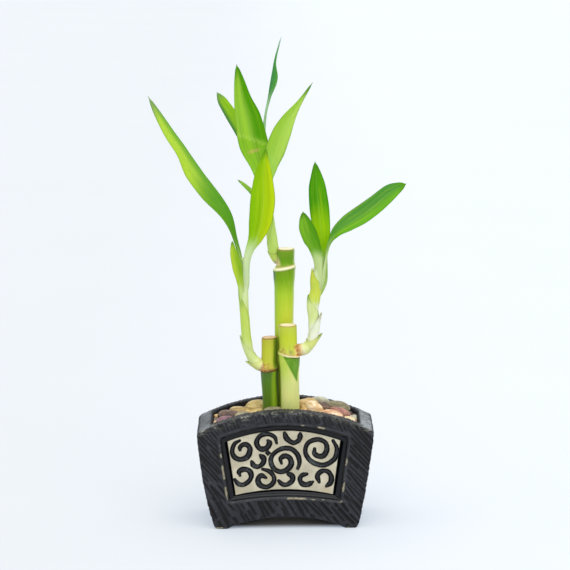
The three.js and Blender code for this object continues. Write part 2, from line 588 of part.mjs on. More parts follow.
const box = new THREE.Box3().setFromObject(plant);
const centre = box.getCenter(new THREE.Vector3());
plant.position.set(-centre.x, -centre.y, -box.min.z);

export default plant;
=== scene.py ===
"""Lucky bamboo in its fan-shaped stoneware pot.

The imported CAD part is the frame. Everything here is drawn in millimetres about the middle of the
pot's footprint, X right, Y away from the viewer, Z up, and make() turns it into metres in the row
frame. All pieces ride on the one body, "root".
"""
import math

import bmesh
import bpy
import numpy as np
from mathutils import Matrix, Vector, noise


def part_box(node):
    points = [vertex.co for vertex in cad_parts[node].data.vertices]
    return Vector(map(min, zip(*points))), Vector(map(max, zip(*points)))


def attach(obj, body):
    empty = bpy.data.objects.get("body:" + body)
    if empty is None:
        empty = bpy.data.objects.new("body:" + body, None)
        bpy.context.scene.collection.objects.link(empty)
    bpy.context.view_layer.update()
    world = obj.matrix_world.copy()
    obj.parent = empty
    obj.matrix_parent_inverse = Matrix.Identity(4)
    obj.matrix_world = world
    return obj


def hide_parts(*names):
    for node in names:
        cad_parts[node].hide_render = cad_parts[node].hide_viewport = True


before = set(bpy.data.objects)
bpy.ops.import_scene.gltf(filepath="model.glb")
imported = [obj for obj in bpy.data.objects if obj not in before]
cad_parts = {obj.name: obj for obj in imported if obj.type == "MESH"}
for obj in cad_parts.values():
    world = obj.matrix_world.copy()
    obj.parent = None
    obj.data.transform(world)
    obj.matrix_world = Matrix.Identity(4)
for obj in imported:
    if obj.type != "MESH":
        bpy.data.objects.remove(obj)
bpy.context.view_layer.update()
pot_low, pot_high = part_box("pot")
OFFSET = np.array([(pot_low.x + pot_high.x) * 500, (pot_low.y + pot_high.y) * 500, 0.0])

CAMERA_AT = (-6.0, -1480.0, 425.5)
CAMERA_TURN = (0.25, 10.5, -0.48)              # yaw, dip and roll in degrees
SENSOR, FOCAL_PIXELS, IMAGE_PIXELS = 36, 2400, 570
WORLD_STRENGTH, WORLD_COLOUR = 1.2, (0.955, 0.978, 1.0, 1)
SUNS = {          # where it comes from, strength, angle it fills in degrees, colour
    "key": ((0.26, -0.78, 0.8), 1.75, 70, (1.0, 0.995, 0.98)),
    "fill": ((-0.5, -0.6, 0.75), 0.6, 80, (0.97, 0.985, 1.0)),
}


# ---------------------------------------------------------------- colours and nodes
def linear(colour):
    """'#rrggbb' as linear red, green, blue."""
    parts = [int(colour[i:i + 2], 16) / 255 for i in (1, 3, 5)]
    return np.array([c / 12.92 if c <= 0.04045 else ((c + 0.055) / 1.055) ** 2.4 for c in parts])


class Wire:
    """A node's output. Wires, numbers and '#rrggbb' strings mix freely as inputs of nodes."""

    def __init__(self, net, socket):
        self.net, self.socket = net, socket

    def __add__(self, other):
        return self.net.math("ADD", self, other)

    def __sub__(self, other):
        return self.net.math("SUBTRACT", self, other)

    def __rsub__(self, other):
        return self.net.math("SUBTRACT", other, self)

    def __mul__(self, other):
        return self.net.math("MULTIPLY", self, other)

    def __abs__(self):
        return self.net.math("ABSOLUTE", self)

    def span(self, low, high, most=1.0, least=0.0, easing="SMOOTHSTEP"):
        """`least` up to where this is `low`, `most` from `high` on, and a slope between them."""
        return self.net.node("ShaderNodeMapRange", {
            "Value": self, "From Min": low, "From Max": high, "To Min": least, "To Max": most,
        }, interpolation_type=easing)

    def band(self, low, full, until, high):
        """1 between `full` and `until`, 0 below `low` and above `high`."""
        return self.span(low, full) * self.span(high, until)

    def mix(self, amount, colour):
        return self.net.mix(amount, self, colour)

    def ramp(self, *stops):
        made = self.net.node("ShaderNodeValToRGB", {"Fac": self})
        elements = made.socket.node.color_ramp.elements
        while len(elements) < len(stops):
            elements.new(0.5)
        for element, (place, tone) in zip(elements, stops):
            element.position = place
            element.color = (*linear(tone), 1)
        return made


class Net:
    """Makes nodes in a tree."""

    def __init__(self, tree):
        self.tree = tree

    def node(self, kind, values=(), out=0, **settings):
        made = self.tree.nodes.new(kind)
        for key, value in settings.items():
            setattr(made, key, value)
        for key, value in dict(values).items():
            self.put(made.inputs[key], value)
        return Wire(self, made.outputs[out])

    def put(self, socket, value):
        if isinstance(value, Wire):
            self.tree.links.new(value.socket, socket)
        else:
            socket.default_value = (*linear(value), 1) if isinstance(value, str) else value

    def split(self, vector):
        made = self.node("ShaderNodeSeparateXYZ", {0: vector})
        return [Wire(self, socket) for socket in made.socket.node.outputs]

    def math(self, operation, a, b=0.0):
        return self.node("ShaderNodeMath", {0: a, 1: b}, operation=operation)

    def most(self, a, b):
        return self.math("MAXIMUM", a, b)

    def mix(self, amount, a, b):
        return self.node("ShaderNodeMix", {0: amount, 6: a, 7: b}, 2, data_type="RGBA", clamp_factor=True)


class Shade(Net):
    """A material under construction. `at` is where its patterns are read."""

    def __init__(self, name):
        self.material = bpy.data.materials.new(name)
        self.material.use_nodes = True
        super().__init__(self.material.node_tree)
        self.tree.nodes.clear()
        self.at = self.node("ShaderNodeTexCoord", out="Object")

    def values(self, *names):
        return [self.node("ShaderNodeAttribute", out="Fac", attribute_name=name) for name in names]

    def colour(self, name):
        return self.node("ShaderNodeAttribute", out="Color", attribute_name=name)

    def noise(self, scale, detail=3.0, rough=0.55, warp=0.0):
        """Cloudy noise. A scale of three numbers stretches it."""
        at = self.at
        if isinstance(scale, tuple):
            at = self.node("ShaderNodeMapping", {"Vector": at, "Scale": scale})
            scale = 1
        return self.node("ShaderNodeTexNoise", {
            "Vector": at, "Scale": scale, "Detail": detail, "Roughness": rough, "Distortion": warp})

    def cells(self, scale):
        return self.node("ShaderNodeTexVoronoi", {"Vector": self.at, "Scale": scale})

    def finish(self, colour, rough, bump=None, through=None, through_share=0.0, **constants):
        """The Principled shader. bump is its height, the height's size in metres and a strength;
        through is the colour of an optional share of light let through from behind."""
        values = {"Base Color": colour, "Roughness": rough}
        values.update({key.replace("_", " "): value for key, value in constants.items()})
        if bump:
            height, size, strength = bump
            values["Normal"] = self.node("ShaderNodeBump", {
                "Height": height, "Distance": size, "Strength": strength})
        shader = self.node("ShaderNodeBsdfPrincipled", values)
        if through:
            glow = self.node("ShaderNodeBsdfTranslucent", {"Color": through})
            shader = self.node("ShaderNodeMixShader", {0: through_share, 1: shader, 2: glow})
        self.put(self.tree.nodes.new("ShaderNodeOutputMaterial").inputs["Surface"], shader)
        return self.material


# ---------------------------------------------------------------- camera and light
def place(name, data):
    """A new object in the scene."""
    made = bpy.data.objects.new(name, data)
    bpy.context.scene.collection.objects.link(made)
    return made


def set_camera():
    yaw, dip, roll = (math.radians(a) for a in CAMERA_TURN)
    ahead = Vector((math.sin(yaw) * math.cos(dip), math.cos(yaw) * math.cos(dip), -math.sin(dip)))
    right = Vector((math.cos(yaw), -math.sin(yaw), 0))
    up = right.cross(ahead)
    across = math.cos(roll) * right + math.sin(roll) * up
    upright = -math.sin(roll) * right + math.cos(roll) * up
    at = (Vector(CAMERA_AT) + Vector(OFFSET)) / 1000
    data = bpy.data.cameras.new("camera")
    data.sensor_width = SENSOR
    data.lens = SENSOR * FOCAL_PIXELS / IMAGE_PIXELS
    camera = place("camera", data)
    camera.matrix_world = Matrix([[*row] for row in zip(across, upright, -ahead, at)] + [[0, 0, 0, 1]])
    bpy.context.scene.camera = camera


def set_sun(name, come_from, strength, softness, colour):
    """A very soft studio lamp, far enough away to light the floor evenly."""
    data = bpy.data.lights.new(name, "SUN")
    data.energy = strength
    data.angle = math.radians(softness)
    data.color = colour
    place(name, data).rotation_euler = (-Vector(come_from)).to_track_quat("-Z", "Y").to_euler()


def set_world():
    """A studio that is bright overhead and at the sides and dark round the camera."""
    world = bpy.data.worlds.new("studio")
    bpy.context.scene.world = world
    world.use_nodes = True
    net = Net(world.node_tree)
    _, y, z = net.split(net.node("ShaderNodeTexCoord", out="Generated"))
    background = world.node_tree.nodes["Background"].inputs
    net.put(background["Color"], WORLD_COLOUR)
    overhead, behind = z.span(-0.1, 0.7, 1.0, 0.5), y.span(-0.85, 0.1, 1.0, 0.35)
    net.put(background["Strength"], overhead * behind * WORLD_STRENGTH)


set_camera()
bpy.context.scene.view_settings.view_transform = "Standard"
set_world()
for sun_name, sun in SUNS.items():
    set_sun(sun_name, *sun)


# ---------------------------------------------------------------- geometry helpers
def make(name, points, faces, material, slot, stands_for, **values):
    """A mesh piece from drawing millimetres. values are numbers or linear colours at the points."""
    mesh = bpy.data.meshes.new(name)
    mesh.from_pydata(((points + OFFSET) / 1000).tolist(), [], faces)
    mesh.polygons.foreach_set("use_smooth", [True] * len(mesh.polygons))
    for key, given in values.items():
        if given.ndim == 1:
            mesh.attributes.new(key, "FLOAT", "POINT").data.foreach_set("value", given.astype(np.float32))
        else:
            rgba = np.column_stack([given, np.ones(len(given))]).astype(np.float32)
            mesh.attributes.new(key, "FLOAT_COLOR", "POINT").data.foreach_set("color", rgba.ravel())
    mesh.materials.append(material)
    piece = place(name, mesh)
    work = bmesh.new()
    work.from_mesh(mesh)
    bmesh.ops.recalc_face_normals(work, faces=work.faces)
    work.to_mesh(mesh)
    work.free()
    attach(piece, "root")
    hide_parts(stands_for)


def ring_of(number, count, base=0):
    """Indices of one of several rings of `count` points that follow each other."""
    return list(range(base + number * count, base + (number + 1) * count))


def strip(above, below):
    """Quads between two closed rows of indices."""
    return [(a, b, d, c) for a, b, c, d in zip(above, above[1:] + above[:1], below, below[1:] + below[:1])]


def fan(centre, loop):
    """Triangles from a closed row of indices to one point."""
    return [(centre, a, b) for a, b in zip(loop, loop[1:] + loop[:1])]


def grid_faces(rows, columns):
    """Quads of a grid of points that are numbered row by row."""
    wide = columns + 1
    starts = [r * wide + c for r in range(rows) for c in range(columns)]
    return [(a, a + 1, a + 1 + wide, a + wide) for a in starts]


def border(rows, columns):
    """Indices round the edge of a grid of points."""
    index = np.arange((rows + 1) * (columns + 1)).reshape(rows + 1, columns + 1)
    return np.r_[index[0, :-1], index[:-1, -1], index[-1, :0:-1], index[:0:-1, 0]].tolist()


def shell_faces(rows, columns):
    """Faces of two grids of points, one outer and one inner, and of the band between their borders."""
    n = (rows + 1) * (columns + 1)
    faces = []
    for a, b, c, d in grid_faces(rows, columns):
        faces += [(a, b, c, d), (n + a, n + d, n + c, n + b)]
    loop = border(rows, columns)
    return faces + [(i, n + i, n + j, j) for i, j in zip(loop, loop[1:] + loop[:1])]


def lumps(points, size, seed=0.0):
    """Smooth noise from -1 to 1 at points, with features of about `size` mm."""
    return np.array([noise.noise(Vector((p[0] / size + seed, p[1] / size - seed, p[2] / size + 2.7 * seed)))
                     for p in points])


def smoothstep(low, high, value):
    t = np.clip((np.asarray(value, float) - low) / (high - low), 0, 1)
    return t * t * (3 - 2 * t)


def bell(value, middle, width):
    """1 at the middle, falling smoothly to nearly 0 two widths away."""
    return np.exp(-((value - middle) / width) ** 2)


def faded(base, onto, share):
    """Rows of colours that change from one to another."""
    return base * (1 - share)[:, None] + onto * share[:, None]


def arc(half, end, crown, steps):
    """Points from (half, end) over (0, crown) to (-half, end)."""
    rise = crown - end
    radius = (half * half + rise * rise) / (2 * rise)
    angles = np.linspace(math.asin(half / radius), -math.asin(half / radius), steps + 1)
    return np.stack([radius * np.sin(angles), crown - radius + radius * np.cos(angles)], 1)


def run(points, count):
    """`count` steps of even length along a polyline, without its last point."""
    points = np.asarray(points, float)
    lengths = np.r_[0, np.cumsum(np.linalg.norm(np.diff(points, axis=0), axis=1))]
    at = np.linspace(0, lengths[-1], count + 1)[:-1]
    return np.stack([np.interp(at, lengths, points[:, k]) for k in range(points.shape[1])], 1)


def between(count, t):
    """Which of `count` evenly spaced stations lies before each t from 0 to 1, and how far back."""
    scaled = np.clip(np.asarray(t, float), 0, 1) * (count - 1)
    k = np.minimum(scaled.astype(int), count - 2)
    return k, (scaled - k)[:, None]


def catmull(points, t):
    """Uniform Catmull-Rom through points at t from 0 to 1, ends extended straight."""
    points = np.asarray(points, float)
    padded = np.vstack([2 * points[0] - points[1], points, 2 * points[-1] - points[-2]])
    k, f = between(len(points), t)
    a, b, c, d = padded[k], padded[k + 1], padded[k + 2], padded[k + 3]
    return 0.5 * (2 * b + (c - a) * f + (2 * a - 5 * b + 4 * c - d) * f ** 2
                  + (3 * b - a - 3 * c + d) * f ** 3)


def eased(values, t):
    """Columns of station values joined by a smooth curve that never overshoots them."""
    k, f = between(len(values), t)
    step = np.diff(values, axis=0)
    product = step[:-1] * step[1:]
    inner = np.where(product > 0, 2 * product / np.where(product > 0, step[:-1] + step[1:], 1), 0)
    slope = np.vstack([step[:1], inner, step[-1:]])
    return values[k] * (2 * f ** 3 - 3 * f ** 2 + 1) + values[k + 1] * (3 * f ** 2 - 2 * f ** 3) \
        + slope[k] * (f ** 3 - 2 * f ** 2 + f) + slope[k + 1] * (f ** 3 - f ** 2)


def along_path(path, t):
    """Places and side and back directions along a path, and what else its stations hold there."""
    path = np.asarray(path, float)
    at, before, after = (catmull(path[:, :3], np.clip(t + step, 0, 1)) for step in (0, -1e-3, 1e-3))
    ahead = after - before
    ahead /= np.linalg.norm(ahead, axis=1, keepdims=True)
    side = np.cross([0, 1, 0], ahead)
    side /= np.linalg.norm(side, axis=1, keepdims=True)
    return at, side, np.cross(ahead, side), eased(path[:, 3:], t).T


def round_path(angle, side, back):
    """Directions at rows of angles round a path."""
    return np.cos(angle)[..., None] * side[:, None] + np.sin(angle)[..., None] * back[:, None]


def random_run(seed):
    state = seed
    while True:
        state = (state * 1664525 + 1013904223) % 4294967296
        yield state / 4294967296


# ---------------------------------------------------------------- pot
FRONT = -25.0
TOP = (55.6, 61.8, 75.5)          # half width, height of its ends and of its middle
FOOT, ARCH = (46, 4), (33, 2.3, 7.5)
SIDE_BULGES = (0.8, -1.7)         # how far the right and the left side curve to the right
EDGE = 1.3                        # rounding of the front's and back's outline
RIM = 1.1                         # rounding of the mouth's edge
MOUTH_HALF, MOUTH_FRONT, MOUTH_BACK, MOUTH_CORNER = 46.4, -15.5, 19.5, 3.0
MOUTH_ENDS = (MOUTH_FRONT - RIM, MOUTH_BACK + RIM)
FLOOR_Z, FLOOR_HALF, TAPER_FROM = 14.0, 38.5, 68
RECESS = {"x": -1.0, "top": (40.5, 59.0, 66.9), "low": (35.2, 17.2, 20.3)}
PANEL = {"x": -1.2, "top": (35.6, 56.4, 63.1), "low": (30.7, 21.2, 24.8)}
MIDDLE_Z = 42                     # about the middle of the recess and the panel
BOTTOM_N, SIDE_N, TOP_N, TOP_END_N = 176, 108, 190, 16
FRONT_ROWS, BELT_ROWS, BACK_ROWS = 30, 34, 50
# From under the panel outwards, inset and depth: a gap, a smooth rounded channel and a soft lip.
MOAT = [(9.0, 5.6), (5.3, 5.6), (4.5, 5.5), (4.1, 5.2), (3.85, 4.6), (3.75, 3.9), (3.65, 3.3),
        (3.5, 2.85), (3.25, 2.5), (2.9, 2.3), (2.5, 2.2), (2.1, 2.12), (1.7, 1.98), (1.35, 1.75),
        (1.05, 1.42), (0.8, 1.05), (0.55, 0.7), (0.3, 0.42), (0.0, 0.2), (-0.35, 0.07), (-0.8, 0.0)]
MOAT_N = len(MOAT)
# The scratches' darkening is painted shade.
FULL_GROOVE = 0.55                # depth in mm at which a scratch is darkest
# Scratches: seed, reach, pitch, angle, lengths, depths, centre, width, turn at the lower left.
MARKS = {
    "front": (3, 92, 2.1, 49, (14, 34), (0.35, 0.85), (0, 38), 1.0, 8),
    "low": (4, 92, 3.3, 52, (12, 26), (0.5, 1.05), (0, 12), 1.35, 8),
    "top": (5, 80, 2.1, 68, (5, 12), (0.35, 0.85), (0, 66), 1.0, 0),
    "side": (8, 70, 2.5, 44, (14, 30), (0.35, 0.7), (0, 34), 1.0, 0),
    "back": (13, 92, 3.0, 52, (18, 40), (0.35, 0.65), (0, 38), 1.35, 0),
    "rim": (17, 75, 1.9, -52, (3, 9), (0.2, 0.55), (0, 0), 1.0, 0),
}


def outer_outline():
    """The pot's outline seen from the front, anticlockwise from the lower left corner."""
    foot = [((-46, 4), (-44.8, 0), 5), ((-44.8, 0), (-36.5, 0), 14), ((-36.5, 0), (-33, 2.3), 8)]
    arch = run(arc(*ARCH, 60)[::-1], BOTTOM_N - 2 * sum(n for _, _, n in foot))
    bottom = [run([a, b], n) for a, b, n in foot] + [arch] \
        + [run([(-b[0], b[1]), (-a[0], a[1])], n) for a, b, n in reversed(foot)]
    top = arc(*TOP, 400)
    hole = MOUTH_HALF + RIM
    edge_z = np.interp(hole, top[::-1, 0], top[::-1, 1])
    right = np.vstack([top[top[:, 0] >= hole], [hole, edge_z]])
    middle = np.vstack([[hole, edge_z], top[np.abs(top[:, 0]) <= hole], [-hole, edge_z]])
    left = np.vstack([[-hole, edge_z], top[top[:, 0] <= -hole]])
    sides = [run([FOOT, TOP[:2]], SIDE_N), run([(-TOP[0], TOP[1]), (-FOOT[0], FOOT[1])], SIDE_N)]
    for side, bulge in zip(sides, SIDE_BULGES):
        side[:, 0] += bulge * np.sin(np.pi * ((side[:, 1] - FOOT[1]) / (TOP[1] - FOOT[1])) ** 0.8) ** 0.8
    loop = np.vstack([*bottom, sides[0], run(right, TOP_END_N), run(middle, TOP_N),
                      run(left, TOP_END_N), sides[1]])
    loop[:, 0] -= 0.1 * smoothstep(30, 50, np.abs(loop[:, 0]))
    return soften(loop, 3)


def soften(loop, reach):
    """Rounds a closed outline's corners by averaging each point with its neighbours."""
    return sum(np.roll(loop, k, 0) for k in range(-reach, reach + 1)) / (2 * reach + 1)


def fan_outline(size, inset=0.0):
    """A fan outline with the same counts a side as the pot's outline."""
    low = arc(*np.add(size["low"], [-inset, inset, inset]), 60)[::-1]
    top = arc(*np.subtract(size["top"], inset), 60)
    loop = np.vstack([run(low, BOTTOM_N), run([low[-1], top[0]], SIDE_N),
                      run(top, TOP_N + 2 * TOP_END_N), run([top[-1], low[0]], SIDE_N)])
    return loop + [size["x"], 0]


def outward(loop):
    """Unit normals of a closed anticlockwise outline, in its plane."""
    ahead = np.roll(loop, -1, 0) - np.roll(loop, 1, 0)
    normal = np.stack([ahead[:, 1], -ahead[:, 0]], 1)
    return normal / np.linalg.norm(normal, axis=1, keepdims=True)


def strokes(seed, reach, pitch, angle, lengths, depths, centre, wide, tilt):
    """Scratches laid side by side: [(u, v, u, v, half width, depth)], by a hand that varies."""
    rng = np.random.default_rng(seed)
    base = math.radians(angle)
    ahead, aside = np.array([math.cos(base), -math.sin(base)]), np.array([math.sin(base), math.cos(base)])
    made = []
    for q in np.arange(-reach, reach, pitch):
        a = -reach + rng.uniform(0, lengths[1])
        while a < reach:
            length = rng.uniform(*lengths)
            turn = math.radians(angle + rng.normal(0, 3.0))
            mid = np.array(centre) + (q + rng.normal(0, 0.25)) * aside + (a + length / 2) * ahead
            if mid[1] < 20 and mid[0] < 12:
                turn += math.radians(tilt)
            way = np.array([math.cos(turn), -math.sin(turn)]) * length / 2
            made.append((*(mid - way), *(mid + way), wide * rng.uniform(0.45, 0.85), rng.uniform(*depths)))
            a += length * rng.uniform(0.85, 1.05)
    return made


def scratch(u, v, marks):
    """Depth in mm of the deepest of the scratches at each point."""
    depth = np.zeros(len(u))
    for au, av, bu, bv, wide, deep in strokes(*MARKS[marks]):
        du, dv = bu - au, bv - av
        reach = 3 * wide
        near = np.flatnonzero((u > min(au, bu) - reach) & (u < max(au, bu) + reach)
                              & (v > min(av, bv) - reach) & (v < max(av, bv) + reach))
        pu, pv = u[near] - au, v[near] - av
        t = np.clip((pu * du + pv * dv) / (du * du + dv * dv), 0, 1)
        square = (pu - t * du) ** 2 + (pv - t * dv) ** 2
        ends = smoothstep(0, 0.12, t) * smoothstep(0, 0.12, 1 - t)
        depth[near] = np.maximum(depth[near], deep * ends * np.exp(-square / wide ** 2))
    return depth


def pot_loops(outline):
    """Loops from under the panel over the front, the sides and the back: [(xz, y, normal in xz,
    normal's y)], and the numbers of the two that the mouth's front and back edges follow."""
    normal = outward(outline)
    flat = 0 * normal
    inner_edge = outline - normal * EDGE
    loops = [(soften(fan_outline(RECESS, inset), max(0, round(6 - 1.4 * max(inset, 0)))),
              FRONT + depth, flat, -1.0) for inset, depth in MOAT]
    start = soften(fan_outline(RECESS, -1.1), 6)
    for w in np.arange(FRONT_ROWS + 1) / FRONT_ROWS:
        loops.append((start * (1 - w) + inner_edge * w, FRONT, flat, -1.0))

    def turn_edge(angles, side):
        for a in np.radians(angles):
            sin, cos = math.sin(a), math.cos(a)
            loops.append((outline - normal * EDGE * (1 - sin), side * (-FRONT - EDGE * (1 - cos)),
                          normal * sin, side * cos))

    turn_edge([18, 36, 54, 72], -1)
    belt = sorted({*np.linspace(FRONT + EDGE, -FRONT - EDGE, BELT_ROWS).round(3), *MOUTH_ENDS})
    belt = [y for i, y in enumerate(belt) if i == 0 or y - belt[i - 1] > 0.5 or y in MOUTH_ENDS]
    mouth_rows = [len(loops) + belt.index(y) for y in MOUTH_ENDS]
    loops += [(outline, y, normal, 0.0) for y in belt]
    turn_edge([72, 54, 36, 18], 1)
    spine = np.stack([np.clip(outline[:, 0], -26, 26) * 0.9, np.full(len(outline), 38.0)], 1)
    for w in np.arange(BACK_ROWS + 1) / BACK_ROWS * 0.98:
        loops.append((inner_edge * (1 - w) + spine * w, -FRONT, flat, 1.0))
    return loops, mouth_rows


def scored(points, facing, ring, crown, outside):
    """How deep the scoring is: long diagonal scratches, and short steep ones along the top band."""
    x, y, z = points.T
    depth = np.zeros(len(points))
    band = smoothstep(-9.5, -6.5, z - crown) * (1 - smoothstep(34, 44, np.abs(x)))
    f = np.flatnonzero(outside & (y < FRONT + EDGE + 0.1))
    low = smoothstep(21, 16, z[f])
    grooves = scratch(x[f], z[f], "front") * (1 - band[f]) * (1 - 0.7 * low) \
        + 0.65 * scratch(x[f], z[f], "top") * band[f]
    grooves = np.maximum(grooves, scratch(x[f], z[f], "low") * low)
    from_lip = smoothstep(0, 0.06, (ring[f] - MOAT_N) / FRONT_ROWS)
    depth[f] = grooves * from_lip * np.clip(-facing[f, 1], 0, 1) ** 0.7
    b = np.flatnonzero(facing[:, 1] > 0.2)
    depth[b] = scratch(-x[b], z[b], "back") * facing[b, 1] ** 0.7
    sideways = np.abs(facing[:, 0])
    s = np.flatnonzero((sideways > 0.55) & (z > 1.5) & (np.abs(facing[:, 1]) < 0.99))
    on_side = scratch(y[s] * np.sign(facing[s, 0]), z[s], "side") * sideways[s] ** 1.5
    depth[s] = np.maximum(depth[s], on_side)
    r = np.flatnonzero((facing[:, 2] > 0.6) & (z > 55) & outside)
    depth[r] = np.maximum(depth[r], scratch(x[r], y[r], "rim") * facing[r, 2])
    return depth


def pot_surface(points, facing, ring):
    """The points with scoring, slow unevenness and a chipped, wavy upper front edge, and the
    values that the material reads."""
    x, y, z = points.T
    outside = ring >= MOAT_N
    crown = np.interp(x, *arc(*TOP, 200)[::-1].T)
    depth = scored(points, facing, ring, crown, outside)
    uneven = np.zeros(len(points))
    uneven[outside] = 0.16 * lumps(points[outside], 9.0, 1.3) + 0.07 * lumps(points[outside], 2.6, 4.1)
    near_edge = bell(z, crown, 2.2) * bell(y, FRONT, 3.4) * outside
    e = np.flatnonzero(near_edge > 0.02)
    chips = lumps(points[e] * [1, 0.6, 0.6], 2.7, 8.8) + 0.7 * lumps(points[e] * [1, 0.6, 0.6], 6.5, 2.2)
    wear = np.zeros(len(points))
    wear[e] = near_edge[e] * smoothstep(-0.25, 0.65, chips)
    uneven += 0.8 * wear * (0.35 + 0.65 * bell(x, -6, 30))
    uneven[e] += 0.38 * near_edge[e] * (lumps(points[e], 1.5, 3.3) + 0.8 * lumps(points[e], 3.4, 6.1))
    moved = points - facing * (depth + uneven)[:, None] * (z >= 0.4)[:, None]
    moved[:, 2] = np.maximum(moved[:, 2], 0)

    # The soft lip round the recess: it carries scuffs, and the material paints a highlight on it.
    lip = bell(ring, MOAT_N - 1.5, 2.2)
    lip_noise = np.zeros(len(points))
    near_lip = np.flatnonzero(lip > 0.03)
    lip_noise[near_lip] = lumps(moved[near_lip], 5.5, 6.6)
    low = smoothstep(26, 20, z) * (ring < MOAT_N + 4)
    favoured = 0.5 * bell(x, 11, 11) * low + 0.3 * bell(x, -38, 4) \
        + 0.22 * bell(x, 36, 4) * smoothstep(62, 52, z) - 0.1 * (z > 62)
    worn_rim = bell(z, crown, 2.4) * bell(y, FRONT + 1, 3) * outside
    worn_rim *= 0.45 + 0.55 * smoothstep(20, -20, x)
    return moved, {
        "groove": np.clip(depth / FULL_GROOVE, 0, 1), "wear": wear, "lip": lip, "worn_rim": worn_rim,
        "scuff": np.clip(lip * smoothstep(0.1, 0.45, lip_noise + favoured), 0, 1),
        "bare": (z < 1.2) & (np.abs(x) > 36), "top": smoothstep(0.75, 0.97, facing[:, 2]),
        "glaze": np.clip((MOAT_N + 1 - ring) / 4, 0, 1) * (ring < MOAT_N + 1),
        # The flat tops of the side walls, more on the right: the material paints a pale grey there as
        # painted light.
        "side_top_light": smoothstep(44, 50, np.abs(x)) * (0.74 + 0.26 * np.sign(x)) * (y > FRONT + 2)}


def wall_half(level):
    """The mouth's half width at a level: its side walls lean in towards the floor."""
    down = np.clip((TAPER_FROM - level) / (TAPER_FROM - FLOOR_Z), 0, 1)
    return MOUTH_HALF - (MOUTH_HALF - FLOOR_HALF) * down


def mouth_rings(around, middle):
    """Rings from the opening's edge over the rounded rim and down the walls to the floor."""
    plan, height = around[:, :2], around[:, 2]
    room = np.array([MOUTH_HALF, (MOUTH_BACK - MOUTH_FRONT) / 2]) - MOUTH_CORNER
    core = np.clip(plan, [0, middle] - room, [0, middle] + room)
    out = plan - core
    target = core + out / np.maximum(np.linalg.norm(out, axis=1, keepdims=True), 1e-6) * MOUTH_CORNER
    rings = []
    for a in np.radians([20, 40, 60, 80]):
        flat = plan * (1 - math.sin(a)) + target * math.sin(a)
        rings.append(np.column_stack([flat, height - RIM * (1 - math.cos(a))]))
    for k, w in enumerate((0.0, 0.03, 0.07, 0.12, 0.2, 0.35, 0.6, 1.0)):
        level = (height - RIM) * (1 - w) + FLOOR_Z * w
        ring = np.column_stack([target[:, 0] * wall_half(level) / MOUTH_HALF, target[:, 1], level])
        ring[:, :2] += 0.12 * lumps(ring, 4.0, 7.1 + k)[:, None]
        rings.append(ring)
    return rings


def laced(upper, lower, x):
    """Triangles between two rows of indices that run side by side from right to left."""
    made = []
    i = j = 0
    while i < len(upper) - 1 or j < len(lower) - 1:
        if j == len(lower) - 1 or i < len(upper) - 1 and x[upper[i + 1]] > x[lower[j + 1]]:
            made.append((upper[i], lower[j], upper[i + 1]))
            i += 1
        else:
            made.append((upper[i], lower[j], lower[j + 1]))
            j += 1
    return made


def build_pot():
    outline = outer_outline()
    count = len(outline)
    loops, (low_row, high_row) = pot_loops(outline)
    xz, normal = (np.vstack([loop[part] for loop in loops]) for part in (0, 2))
    y, facing_y = (np.repeat([loop[part] for loop in loops], count) for part in (1, 3))
    points, values = pot_surface(np.stack([xz[:, 0], y, xz[:, 1]], 1),
                                 np.stack([normal[:, 0], facing_y, normal[:, 1]], 1),
                                 np.repeat(np.arange(len(loops)), count))
    first = BOTTOM_N + SIDE_N + TOP_END_N
    last = first + TOP_N
    faces = []
    for k in range(len(loops) - 1):
        quads = strip(ring_of(k + 1, count), ring_of(k, count))
        faces += quads[:first] + quads[last:] if low_row <= k < high_row else quads

    edge = [low_row * count + i for i in range(first, last + 1)]
    edge += [k * count + last for k in range(low_row + 1, high_row + 1)]
    edge += [high_row * count + i for i in range(last - 1, first - 1, -1)]
    edge += [k * count + first for k in range(high_row - 1, low_row, -1)]
    middle = (MOUTH_FRONT + MOUTH_BACK) / 2
    rings = mouth_rings(points[edge], middle)
    above = edge
    for k in range(len(rings)):
        ring = ring_of(k, len(edge), len(points))
        faces += strip(above, ring)
        above = ring
    centre = len(points) + len(rings) * len(edge)
    faces += fan(centre, above) + fan(centre + 1, ring_of(0, count))
    # The back's innermost loop is a long slit: its upper and lower run are laced together.
    back = (len(loops) - 1) * count
    right, left = int(np.argmax(outline[:, 0])), int(np.argmin(outline[:, 0]))
    upper = [back + i % count for i in range(right, right + (left - right) % count + 1)]
    lower = [back + i % count for i in range(right, right - (right - left) % count - 1, -1)]
    faces += laced(upper, lower, xz[:, 0])
    added = len(rings) * len(edge) + 2
    values = {key: np.r_[value, np.zeros(added)] for key, value in values.items()}
    # The mouth's walls and floor are marked; the material paints them near black as painted shade inside
    # the pot.
    values["inside"] = np.r_[np.zeros(len(points)), np.clip(np.arange(added) / len(edge) - 2, 0, 1)]
    points = np.vstack([points, *rings, [0, middle, FLOOR_Z], [RECESS["x"], FRONT + MOAT[0][1], MIDDLE_Z]])
    make("pot_scored", points, faces, pot_material(), "black_stoneware", "pot", **values)


